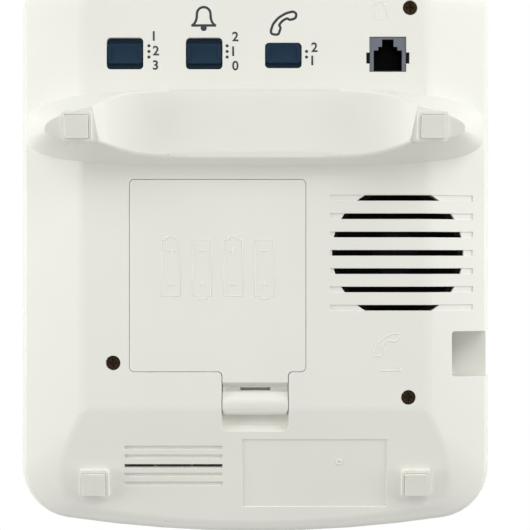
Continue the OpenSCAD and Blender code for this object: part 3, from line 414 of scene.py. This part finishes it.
def arc(u, v, radius, start, end, steps=12):
    """Points along an arc, in millimetres and degrees."""
    turns = [math.radians(start + (end - start) * i / steps) for i in range(steps + 1)]
    return [(u + radius * math.cos(a), v + radius * math.sin(a)) for a in turns]


# A rounded corner takes up no more than this share of a side
LARGEST_CUT = 0.45


def rounded(points, cut, steps=4):
    """A closed line with its corners rounded, each from a cut before it to a cut after it."""
    line = []
    for before, corner, after in zip(points[-1:] + points[:-1], points, points[1:] + points[:1]):
        b, c, a = Vector(before), Vector(corner), Vector(after)
        start = c.lerp(b, min(LARGEST_CUT, cut / (b - c).length))
        end = c.lerp(a, min(LARGEST_CUT, cut / (a - c).length))
        for i in range(steps + 1):
            t = i / steps
            line.append(tuple(start.lerp(c, t).lerp(c.lerp(end, t), t)))
    return line


def ring(u, v, radius, steps=24):
    """Points round a circle, in millimetres."""
    return arc(u, v, radius, 0, 360 - 360 / steps, steps - 1)


def settle_mesh(thing, place, thickness):
    """Put a place into a flat mesh, with the mesh's thickness squeezed to a share."""
    alone(thing)
    thing.matrix_world = place @ Matrix.Diagonal((1, 1, thickness, 1))
    bpy.ops.object.transform_apply(location=True, rotation=True, scale=True)
    return thing


def drawn(name, place, width, height, closed=(), opened=()):
    """Raised lines of one width and height, each line a list of points in millimetres."""
    curve = bpy.data.curves.new(name, "CURVE")
    curve.dimensions = "3D"
    curve.bevel_depth = width / 2
    curve.bevel_resolution = 2
    curve.use_fill_caps = True
    for points in list(closed) + list(opened):
        line = curve.splines.new("POLY")
        line.points.add(len(points) - 1)
        line.use_cyclic_u = points in closed
        for point, (u, v) in zip(line.points, points):
            point.co = (u * MM, v * MM, 0, 1)
    thing = bpy.data.objects.new(name, curve)
    bpy.context.scene.collection.objects.link(thing)
    alone(thing)
    bpy.ops.object.convert(target="MESH")
    return settle_mesh(thing, place, 2 * height / width)


def figure(text, place, tall, depth, centred=False, bold=0.0):
    """Figures of a given height as a thin solid, with their left end or their middle at a place."""
    bpy.ops.object.select_all(action="DESELECT")
    bpy.ops.object.text_add()
    thing = bpy.context.object
    thing.data.body = text
    thing.data.resolution_u = 6
    thing.data.offset = bold
    alone(thing)
    bpy.ops.object.convert(target="MESH")
    corners = [vertex.co for vertex in thing.data.vertices]
    low = Vector([min(c[k] for c in corners) for k in range(3)])
    high = Vector([max(c[k] for c in corners) for k in range(3)])
    size = tall / (high.y - low.y)
    anchor = (low + high) / 2 if centred else Vector((low.x, (low.y + high.y) / 2, 0))
    thing.data.transform(Matrix.Scale(size, 4) @ Matrix.Translation(-anchor))
    settle_mesh(thing, place, 1)
    bpy.ops.object.mode_set(mode="EDIT")
    bpy.ops.mesh.select_all(action="SELECT")
    bpy.ops.mesh.remove_doubles(threshold=0.001 * MM)
    bpy.ops.object.mode_set(mode="OBJECT")
    # Two thirds stand out of the face, by the depth, and one third is sunk in it
    apply(thing, "SOLIDIFY", thickness=1.5 * depth, offset=1 / 3)
    return thing


def laid_on(thing, place, carrier):
    """Let a flat legend follow the dished face under it, each point as high above the face as it was."""
    alone(thing)
    bpy.ops.object.mode_set(mode="EDIT")
    bpy.ops.mesh.select_all(action="SELECT")
    bpy.ops.mesh.subdivide(number_cuts=2)
    bpy.ops.object.mode_set(mode="OBJECT")
    back = place.inverted()
    for vertex in thing.data.vertices:
        height = (back @ vertex.co).z
        found, landing, _, _ = carrier.ray_cast(vertex.co + UP * MM, -UP)
        if not found:
            raise RuntimeError(thing.name + " lies past the edge of its key")
        vertex.co = landing + UP * height


def dots(name, places, radius, depth):
    """Round dots on the underside, as thin buttons with an eased rim."""
    made = []
    for x, y in places:
        bpy.ops.object.select_all(action="DESELECT")
        bpy.ops.mesh.primitive_cylinder_add(vertices=20, radius=radius, depth=2 * depth)
        made.append(settle_mesh(bpy.context.object, reading(x, y), 1))
        apply(made[-1], "BEVEL", width=depth / 2, segments=1, limit_method="ANGLE")
    return joined(name, made)


def joined(name, things):
    """Several meshes as one piece."""
    bpy.ops.object.select_all(action="DESELECT")
    for thing in things:
        thing.select_set(True)
    bpy.context.view_layer.objects.active = things[0]
    if len(things) > 1:
        bpy.ops.object.join()
    things[0].name = name
    return things[0]


class TELEPHONE_OT_inside(bpy.types.Operator):
    """Give every solid of the telephone the finish of its own material, but painted shade, a black coat, to the
    solids behind the grille and the vent slot
    """
    bl_idname = "telephone.inside"
    bl_label = "Finish the solids"

    def execute(self, context):
        for node, slot in SLOT_OF.items():
            # Solids behind the grille and the vent slot get a black coat of painted shade in place of their own
            # finish
            dress(NODES[node], SHADE_COATED.get(node, SLOT_FINISH[slot]))
        return {"FINISHED"}


# The stand ridge in slab millimetres: its front and rear ends, its root, and where its toes start
RIDGE_FRONT, RIDGE_REAR = 80, 120
RIDGE_ROOT = -0.8
TOE_START = 54
# Turns between two faces, in degrees: along the ridge's soft edges, and along the floor's blends
RIDGE_TURNS = (36, 86)
FLOOR_TURNS = (5, 30)
# The share of the floor's blend that the level front pad's edges get
PAD_SHARE = 0.5
# Cosine of the angle within which a face counts as square to a direction
SQUARE = 0.99995


class TELEPHONE_OT_case(bpy.types.Operator):
    """Mould the two halves of the case, with a soft stand ridge and blended side strips"""
    bl_idname = "telephone.case"
    bl_label = "Mould the case"

    def execute(self, context):
        sizes = context.scene.telephone_sizes
        lower = merged("lower_case", "underside_shell")
        round_edges(lower, self.on_ridge, sizes.ridge_edge, segments=4)
        round_edges(lower, self.on_floor, sizes.floor_blend, segments=4)
        eased(lower, sizes.shell_edge, inside=UP)
        stand_for("lower_case", lower)
        eased_copy("upper_case", "top_shell", sizes.top_edge, segments=3, inside=-UP, hollows=False)
        return {"FINISHED"}

    @staticmethod
    def on_ridge(edge):
        """An outer edge of the stand ridge along its arch, between its toes and above their soles."""
        spots = [in_slab(vertex.co) for vertex in edge.verts]
        on_it = all(RIDGE_FRONT < spot.y < RIDGE_REAR and spot.z < RIDGE_ROOT for spot in spots)
        above_soles = all(vertex.co.z > CREASE.z - SLACK for vertex in edge.verts)
        between_toes = max(abs(spot.x) for spot in spots) < TOE_START
        turn = math.degrees(edge.calc_face_angle())
        sharp = edge.is_convex and RIDGE_TURNS[0] < turn < RIDGE_TURNS[1]
        return float(on_it and above_soles and between_toes and sharp)

    @staticmethod
    def on_floor(edge):
        """A shallow edge round the level front pad, by less, or between the flat floor and a side strip."""
        turn = math.degrees(edge.calc_face_angle())
        if not FLOOR_TURNS[0] < turn < FLOOR_TURNS[1]:
            return 0.0
        if any(face.normal.dot(DOWN) > SQUARE for face in edge.link_faces):
            return PAD_SHARE
        return float(any(face.normal.dot(-UP) > SQUARE for face in edge.link_faces))


# The battery latch in slab millimetres: the line that its front corners lie before, and their least height
LATCH_FRONT = -1.3
CORNER_HEIGHT = 0.3
# Turn in degrees from which an edge of the latch makes a corner
CORNER_TURN = 60


class TELEPHONE_OT_battery_door(bpy.types.Operator):
    """Mould the battery cover and its sprung latch"""
    bl_idname = "telephone.battery_door"
    bl_label = "Mould the battery door"

    def execute(self, context):
        sizes = context.scene.telephone_sizes
        eased_copy("battery_cover", "battery_door", sizes.shell_edge, inside=UP)
        latch = merged("battery_latch", "battery_door_latch")
        round_edges(latch, self.on_tip, sizes.latch_corner, segments=4)
        eased(latch, sizes.shell_edge, angle=50)
        stand_for("battery_latch", latch)
        return {"FINISHED"}

    @staticmethod
    def on_tip(edge):
        """An upright edge at a front corner of the latch."""
        spots = [in_slab(vertex.co) for vertex in edge.verts]
        run = spots[0] - spots[1]
        upright = abs(run.x) * MM < SLACK and abs(run.z) > CORNER_HEIGHT
        sharp = edge.is_convex and edge.calc_face_angle() > math.radians(CORNER_TURN)
        return float(all(spot.y < LATCH_FRONT for spot in spots) and upright and sharp)


class TELEPHONE_OT_handset(bpy.types.Operator):
    """Mould the two shells of the handset"""
    bl_idname = "telephone.handset"
    bl_label = "Mould the handset"

    def execute(self, context):
        sizes = context.scene.telephone_sizes
        eased_copy("handset_outer_shell", "handset_back", sizes.shell_edge, inside=-UP)
        eased_copy("handset_inner_shell", "handset_face", sizes.shell_edge, inside=UP)
        return {"FINISHED"}


class TELEPHONE_OT_controls(bpy.types.Operator):
    """Mould the keys, the switch knobs, the hook plunger and the ring lamp's lens"""
    bl_idname = "telephone.controls"
    bl_label = "Mould the controls"

    def execute(self, context):
        sizes = context.scene.telephone_sizes
        for key in KEYS:
            eased_copy(key, key + "_cap", sizes.key_edge, segments=3)
        for knob in KNOBS:
            eased_copy(knob, knob + "_cap", sizes.knob_edge, angle=30, segments=3)
        eased_copy("hook_plunger", "hook_plunger_cap", sizes.knob_edge, segments=3)
        eased_copy("ring_lamp_lens", "ring_lamp_dome", sizes.knob_edge)
        return {"FINISHED"}


# The line socket's grey front in slab millimetres: its depth, and half its width. The rest gets a nearly black
# finish, painted shade in the bore and the same dark on the ears
FRONT_DEPTH = 1.0
FRONT_HALF_WIDTH = 6.4


class TELEPHONE_OT_sockets(bpy.types.Operator):
    """Mould the three modular sockets, with painted shade in the line socket's bore"""
    bl_idname = "telephone.sockets"
    bl_label = "Mould the sockets"

    def execute(self, context):
        sizes = context.scene.telephone_sizes
        line = eased_copy("line_jack", "line_socket", sizes.socket_edge)
        line.data.materials.append(finish("nylon_bore"))
        middle = sum(in_slab(Vector(corner)).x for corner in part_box("line_jack")) / 2
        # Faces deeper than the front, or beside it on the ears, get the nearly black finish: painted shade in the
        # bore
        for face in line.data.polygons:
            spot = in_slab(face.center)
            dark = spot.z > FRONT_DEPTH or abs(spot.x - middle) > FRONT_HALF_WIDTH
            face.material_index = int(dark)
        eased_copy("handset_jack", "base_handset_socket", sizes.socket_edge)
        eased_copy("handset_socket", "handset_end_socket", sizes.socket_edge)
        return {"FINISHED"}


class TELEPHONE_OT_feet_and_screws(bpy.types.Operator):
    """Ease the rubber foot pads and the screw heads"""
    bl_idname = "telephone.feet_and_screws"
    bl_label = "Mould the feet and screws"

    def execute(self, context):
        sizes = context.scene.telephone_sizes
        eased_copy("rubber_feet", "foot_pads", sizes.foot_edge, segments=3)
        eased_copy("case_screws", "case_screw_set", sizes.screw_edge)
        eased_copy("handset_screws", "handset_screw_set", sizes.screw_edge)
        return {"FINISHED"}


# Rows of figures beside each switch, in slab millimetres: left end, heights and figures, top to bottom
FIGURE_ROWS = (
    (36.2, (132.1, 126.9, 121.8), "123"),
    (8.1, (131.9, 126.7, 121.6), "210"),
    (-19.9, (128.1, 123.4), "21"),
)
# Columns of dots between the figures and each switch: middle, and heights from top to bottom
DOT_COLUMNS = ((37.6, (128.6, 126.6, 124.6)), (9.9, (128.6, 126.6, 124.6)), (-18.2, (126.6, 124.6)))
# Places of the signs above the switches, and the radius of the bell's clapper
BELL_AT = (18.2, 138.2)
CLAPPER_AT = (18.2, 134.9)
CLAPPER_RADIUS = 1.1 * MM
RECEIVER_AT = (-10.1, 136.5)
# How much the figures are fattened, as a share of their font's size
FIGURE_BOLD = 0.02


def bell():
    """A bell about its middle, in millimetres: the line of its body and the line of its rim."""
    flare = [(-4, -2.4), (-3.3, -1.7), (-2.8, -0.9), (-2.5, 0.2)]
    mirrored = [(-u, v) for u, v in reversed(flare)]
    return [flare + arc(0, 1.7, 2.4, 180, 0) + mirrored, [(-4.4, -2.4), (4.4, -2.4)]]


def receiver():
    """Outline of a telephone receiver about its middle, in millimetres."""
    back = [(-4.6, -2.8), (-3.8, -0.3), (-1.9, 2), (0.8, 3.6), (3.4, 4.3)]
    upper_cup = [(4.6, 3.4), (4.2, 1.8), (2.1, 1.2), (1.3, 1.9)]
    lower_cup = [(-0.4, 1), (-1.7, -0.6), (-1, -1.5), (-1.9, -4), (-4.2, -3.8)]
    return rounded(back + upper_cup + lower_cup, cut=0.7)


class TELEPHONE_OT_switch_marks(bpy.types.Operator):
    """Print plain figures, dots, a bell and a receiver beside the slide switches"""
    bl_idname = "telephone.switch_marks"
    bl_label = "Print the switch marks"

    def execute(self, context):
        sizes = context.scene.telephone_sizes
        width, depth = sizes.line_width, sizes.print_depth
        made = []
        for x, rows, figures in FIGURE_ROWS:
            for y, text in zip(rows, figures):
                made.append(figure(text, reading(x, y), sizes.figure_height, depth, bold=FIGURE_BOLD))
        spots = [(x, y) for x, rows in DOT_COLUMNS for y in rows]
        made.append(dots("switch_dots", spots, sizes.dot_radius, depth))
        made.append(drawn("bell", reading(*BELL_AT), width, depth, opened=bell()))
        made.append(dots("clapper", [CLAPPER_AT], CLAPPER_RADIUS, depth))
        made.append(drawn("receiver", reading(*RECEIVER_AT), width, depth, closed=[receiver()]))
        settle(joined("switch_marks", made), "base", "dark_plastic", "ink_mark")
        return {"FINISHED"}


def speaker_sign():
    """A loudspeaker with two waves, as closed and open lines."""
    horn = [(-2.6, -0.8), (-1.4, -0.8), (0.2, -2), (0.2, 2), (-1.4, 0.8), (-2.6, 0.8)]
    return [horn], [arc(0, 0, 1.6, -40, 40, 6), arc(0, 0, 2.8, -40, 40, 8)]


def mute_sign():
    """A microphone struck through, as closed and open lines."""
    capsule = arc(0, 1, 0.8, 0, 180, 8) + arc(0, -0.4, 0.8, 180, 360, 8)
    return [capsule], [arc(0, -0.2, 1.6, 200, 340, 8), [(0, -1.8), (0, -2.4)], [(-2.2, -2), (2.2, 2.2)]]


def redial_sign():
    """An arrow that runs round in a circle, as closed and open lines."""
    return [[(1.3, 1.2), (2.7, 0.9), (1.9, 2.3)]], [arc(0, 0, 1.9, 60, 340, 20)]


def recall_sign():
    """Two chevrons, as closed and open lines."""
    return [], [[(u - 0.9, 1.6), (u + 0.9, 0), (u - 0.9, -1.6)] for u in (-1.1, 1.1)]


KEY_SIGNS = {"key_recall": recall_sign, "key_redial": redial_sign, "key_mute": mute_sign,
             "key_speaker": speaker_sign}
KEY_FIGURES = {"key_star": "*", "key_hash": "#"}
# The star's height as a share of the figures' height
STAR_SHARE = 0.55
# Dots on the memory keys, in millimetres: their spacing, and the ring whose thick line fills each dot
MEMORY_PITCH = 2.4
MEMORY_RING = 0.35
# A key's dish in slab millimetres: how near to its middle it is measured, and what it surely lies above
DISH_RADIUS = 3
DISH_ABOVE = 36


class TELEPHONE_OT_key_legends(bpy.types.Operator):
    """Print figures, signs and dots on the dished key tops"""
    bl_idname = "telephone.key_legends"
    bl_label = "Print the key legends"

    def execute(self, context):
        sizes = context.scene.telephone_sizes
        depth = sizes.print_depth
        for key in KEYS:
            name = key + "_legend"
            place = self.top(key)
            if key in KEY_SIGNS:
                closed, opened = KEY_SIGNS[key]()
                legend = drawn(name, place, sizes.sign_width, depth, closed, opened)
            elif key in MEMORY_KEYS:
                count = MEMORY_KEYS.index(key) + 1
                middles = [MEMORY_PITCH * (i - (count - 1) / 2) for i in range(count)]
                rings = [ring(u, 0, MEMORY_RING, steps=10) for u in middles]
                legend = drawn(name, place, 2 * MEMORY_RING * MM, depth, closed=rings)
            else:
                # A digit key's name ends with its digit
                text = KEY_FIGURES.get(key, key[-1])
                tall = sizes.key_figure * (STAR_SHARE if text == "*" else 1)
                legend = figure(text, place, tall, depth, centred=True)
                legend.name = name
            laid_on(legend, place, bpy.data.objects[key + "_cap"])
            settle(legend, BODY_OF[key], "case_abs", "ink_legend")
        return {"FINISHED"}

    @staticmethod
    def top(key):
        """The frame of a legend in the middle of a key's dish."""
        spots = [in_slab(vertex.co) for vertex in NODES[key].data.vertices]
        across = [spot.x for spot in spots]
        along = [spot.y for spot in spots]
        x, y = (min(across) + max(across)) / 2, (min(along) + max(along)) / 2
        near = [spot for spot in spots if math.hypot(spot.x - x, spot.y - y) < DISH_RADIUS]
        z = min(spot.z for spot in near if spot.z > DISH_ABOVE)
        return SLAB @ Matrix.Translation(Vector((x, y, z)) * MM)


# Places of the moulded marks, in slab millimetres
CELLS_AT = (13.28, 50)
LINE_SIGN_AT = (-44.2, 141.2)
RECEIVER_SIGN_AT = (-46.5, 22.6)
ARROW_AT = (-48, 13.6)
GATE_AT = (-29.9, -19.4)
# Depth of the label recess, and the gate mark in it: its radius in millimetres and its line's width
RECESS_DEPTH = 0.4
GATE_RADIUS = 0.85
GATE_WIDTH = 0.6 * MM
# The cells on the battery cover: how many, and their spacing, length and width in millimetres
CELL_COUNT = 4
CELL_PITCH, CELL_LENGTH, CELL_WIDTH = 11, 20, 6.4
# Half the width of a cell's button as a share of the cell's, and its height in millimetres
BUTTON_SHARE, BUTTON_HEIGHT = 0.22, 1
# How far from a cell's middle its plus and minus lie, and half the length of their strokes, in millimetres
POLE_AT = 6
STROKE = 1.2


def cell_outline(u):
    """A battery cell seen from the side, with its button, in millimetres about a place along the row."""
    side, button, end = CELL_WIDTH / 2, CELL_WIDTH * BUTTON_SHARE, CELL_LENGTH / 2
    tip = end + BUTTON_HEIGHT
    return [(u - side, -end), (u + side, -end), (u + side, end), (u + button, end),
            (u + button, tip), (u - button, tip), (u - button, end), (u - side, end)]


class TELEPHONE_OT_moulded_marks(bpy.types.Operator):
    """Raise plain moulded pictograms: cells on the battery cover, a plug, a receiver and a gate mark"""
    bl_idname = "telephone.moulded_marks"
    bl_label = "Raise the moulded marks"

    def execute(self, context):
        sizes = context.scene.telephone_sizes
        width, height = sizes.raised_width, sizes.raised_height
        cells, signs = [], []
        for i in range(CELL_COUNT):
            # Each cell lies the other way round from the one before it
            u, turn = (i - (CELL_COUNT - 1) / 2) * CELL_PITCH, 1 - 2 * (i % 2)
            cells.append([(a, b * turn) for a, b in cell_outline(u)])
            plus, minus = POLE_AT * turn, -POLE_AT * turn
            signs.append([(u - STROKE, plus), (u + STROKE, plus)])
            signs.append([(u, plus - STROKE), (u, plus + STROKE)])
            signs.append([(u - STROKE, minus), (u + STROKE, minus)])
        cover = drawn("battery_door_cells", reading(*CELLS_AT), width, height, cells, signs)
        settle(cover, "battery_cover", "case_abs", "abs_shell")
        plug = [(-2.4, -3), (2.4, -3), (2.4, 2), (1, 2), (1, 3.2), (-1, 3.2), (-1, 2), (-2.4, 2)]
        pins = [[(u, -2.6), (u, -0.8)] for u in (-1.5, -0.5, 0.5, 1.5)]
        line = drawn("line_sign", reading(*LINE_SIGN_AT), width, height, [plug], pins)
        cup = drawn("receiver_sign", reading(*RECEIVER_SIGN_AT), width, height, closed=[receiver()])
        arrow = [[(-4, 0), (4, 0)], [(2.4, 1.4), (4, 0), (2.4, -1.4)]]
        way = drawn("receiver_arrow", reading(*ARROW_AT), width, height, opened=arrow)
        rim = [ring(0, 0, GATE_RADIUS)]
        gate = drawn("gate_mark", on_pad(*GATE_AT, RECESS_DEPTH), GATE_WIDTH, 2 * height, closed=rim)
        settle(joined("socket_signs", [line, cup, way, gate]), "base", "case_abs", "abs_shell")
        return {"FINISHED"}


# Lamps: place, size in metres and power in watts. Those below the floor light the underside
LAMPS = {
    "rear_right_below": (slab(-551, 601, -450), 0.6, 3.5),
    "rear_left_below": (slab(551, 601, -450), 0.6, 2.0),
    "right_below": (slab(-869, 50, -233), 0.4, 2.6),
    "left_below": (slab(869, 50, -233), 0.4, 3.6),
    "front_below": (slab(0, -819, -233), 0.6, 0.6),
    "key_above": (Vector((-0.3, -0.9, 1.4)), 1.0, 5),
    "fill_above": (Vector((0.6, 0.7, 1.2)), 1.2, 1),
}
LAMP_AIM = slab(0, 50, 15)
# The photograph's width in pixels, and its scale at the underside
PICTURE_WIDTH = 530
MM_PER_PIXEL = 0.354
# The camera, in millimetres: how far off it is, where on the slab it aims, and its sensor's width
CAMERA_DISTANCE = 500
CAMERA_AIM = (-3.5, 51)
SENSOR_WIDTH = 36
# The surround's strength where it is seen, low down and high up, and the heights between which it grows
SEEN_LEVEL = 1.0
LOW_LEVEL, HIGH_LEVEL = 0.42, 0.7
LOW_END, HIGH_END = 0.1, 0.7


def lamp(name, place, aim, size, watts):
    """A soft square lamp that no camera sees."""
    light = bpy.data.lights.new(name, "AREA")
    light.size = size
    light.energy = watts
    thing = bpy.data.objects.new(name, light)
    thing.location = place
    thing.rotation_euler = (aim - place).to_track_quat("-Z", "Y").to_euler()
    thing.visible_camera = False
    bpy.context.scene.collection.objects.link(thing)


class TELEPHONE_OT_stage(bpy.types.Operator):
    """Set up the camera under the telephone, a pale floor, soft lamps and a white surround"""
    bl_idname = "telephone.stage"
    bl_label = "Set the stage"

    def execute(self, context):
        scene = context.scene
        scene.view_settings.view_transform = "Standard"
        self.camera(scene)
        self.floor()
        self.world(scene)
        for name, (place, size, watts) in LAMPS.items():
            lamp(name, place, LAMP_AIM, size, watts)
        return {"FINISHED"}

    def camera(self, scene):
        """The photograph looks square at the underside from half a metre below it."""
        data = bpy.data.cameras.new("camera")
        data.sensor_width = SENSOR_WIDTH
        data.lens = SENSOR_WIDTH * CAMERA_DISTANCE / (MM_PER_PIXEL * PICTURE_WIDTH)
        data.clip_start = 0.01
        thing = bpy.data.objects.new("camera", data)
        thing.matrix_world = reading(*CAMERA_AIM, -CAMERA_DISTANCE)
        scene.collection.objects.link(thing)
        scene.camera = thing

    def floor(self):
        """A pale floor that only a camera above it sees, so the light below reaches the underside."""
        bpy.ops.object.select_all(action="DESELECT")
        bpy.ops.mesh.primitive_plane_add(size=6, location=(0, 0, 0))
        thing = bpy.context.object
        thing.name = "floor"
        for ray in ("diffuse", "glossy", "transmission", "shadow", "volume_scatter"):
            setattr(thing, "visible_" + ray, False)
        material, tree, bsdf, _ = shader("floor_paint")
        bsdf.inputs["Base Color"].default_value = linear("#e6e6e4")
        bsdf.inputs["Roughness"].default_value = 0.9
        side = add(tree, "ShaderNodeNewGeometry").outputs["Backfacing"]
        clear = add(tree, "ShaderNodeBsdfTransparent")
        mix = add(tree, "ShaderNodeMixShader", links={0: side, 1: bsdf.outputs[0], 2: clear.outputs[0]})
        tree.links.new(mix.outputs[0], tree.nodes["Material Output"].inputs["Surface"])
        thing.data.materials.append(material)

    def world(self, scene):
        """White for the camera, mirrors and glass, and a soft light, stronger from above, for all else."""
        world = bpy.data.worlds.new("surround")
        world.use_nodes = True
        tree = world.node_tree
        path = add(tree, "ShaderNodeLightPath")
        seen = add(tree, "ShaderNodeMath", {"operation": "MAXIMUM"},
                   {0: path.outputs["Is Camera Ray"], 1: path.outputs["Is Glossy Ray"]})
        seen = add(tree, "ShaderNodeMath", {"operation": "MAXIMUM"},
                   {0: seen.outputs[0], 1: path.outputs["Is Transmission Ray"]})
        way = add(tree, "ShaderNodeTexCoord").outputs["Generated"]
        height = add(tree, "ShaderNodeSeparateXYZ", links={"Vector": way}).outputs["Z"]
        sky = add(tree, "ShaderNodeMapRange", links={"Value": height}, From_Min=LOW_END, From_Max=HIGH_END,
                  To_Min=LOW_LEVEL, To_Max=HIGH_LEVEL)
        level = add(tree, "ShaderNodeMapRange", To_Max=SEEN_LEVEL,
                    links={"Value": seen.outputs[0], "To Min": sky.outputs["Result"]})
        tree.links.new(level.outputs["Result"], tree.nodes["Background"].inputs["Strength"])
        tree.nodes["Background"].inputs["Color"].default_value = (1, 1, 1, 1)
        scene.world = world


OPERATORS = (
    TELEPHONE_OT_inside, TELEPHONE_OT_case, TELEPHONE_OT_battery_door, TELEPHONE_OT_handset,
    TELEPHONE_OT_controls, TELEPHONE_OT_sockets, TELEPHONE_OT_feet_and_screws, TELEPHONE_OT_switch_marks,
    TELEPHONE_OT_key_legends, TELEPHONE_OT_moulded_marks, TELEPHONE_OT_stage,
)


class TELEPHONE_PT_looks(bpy.types.Panel):
    """Lists the steps that dress the telephone"""
    bl_label = "Desk Telephone"
    bl_idname = "TELEPHONE_PT_looks"
    bl_space_type = "VIEW_3D"
    bl_region_type = "UI"
    bl_category = "Telephone"

    def draw(self, context):
        """One button for each step, in order."""
        for operator in OPERATORS:
            self.layout.operator(operator.bl_idname)


CLASSES = (TelephoneColours, TelephoneSizes) + OPERATORS + (TELEPHONE_PT_looks,)


def register():
    """Register the classes, and hang the colours and sizes on the scene."""
    for cls in CLASSES:
        bpy.utils.register_class(cls)
    bpy.types.Scene.telephone_colours = bpy.props.PointerProperty(type=TelephoneColours)
    bpy.types.Scene.telephone_sizes = bpy.props.PointerProperty(type=TelephoneSizes)


def unregister():
    """Undo what register does."""
    del bpy.types.Scene.telephone_sizes
    del bpy.types.Scene.telephone_colours
    for cls in reversed(CLASSES):
        bpy.utils.unregister_class(cls)


def main():
    """Run every step in order."""
    register()
    for operator in OPERATORS:
        step = operator.bl_idname.removeprefix("telephone.")
        getattr(bpy.ops.telephone, step)()


if __name__ == "__main__":
    main()
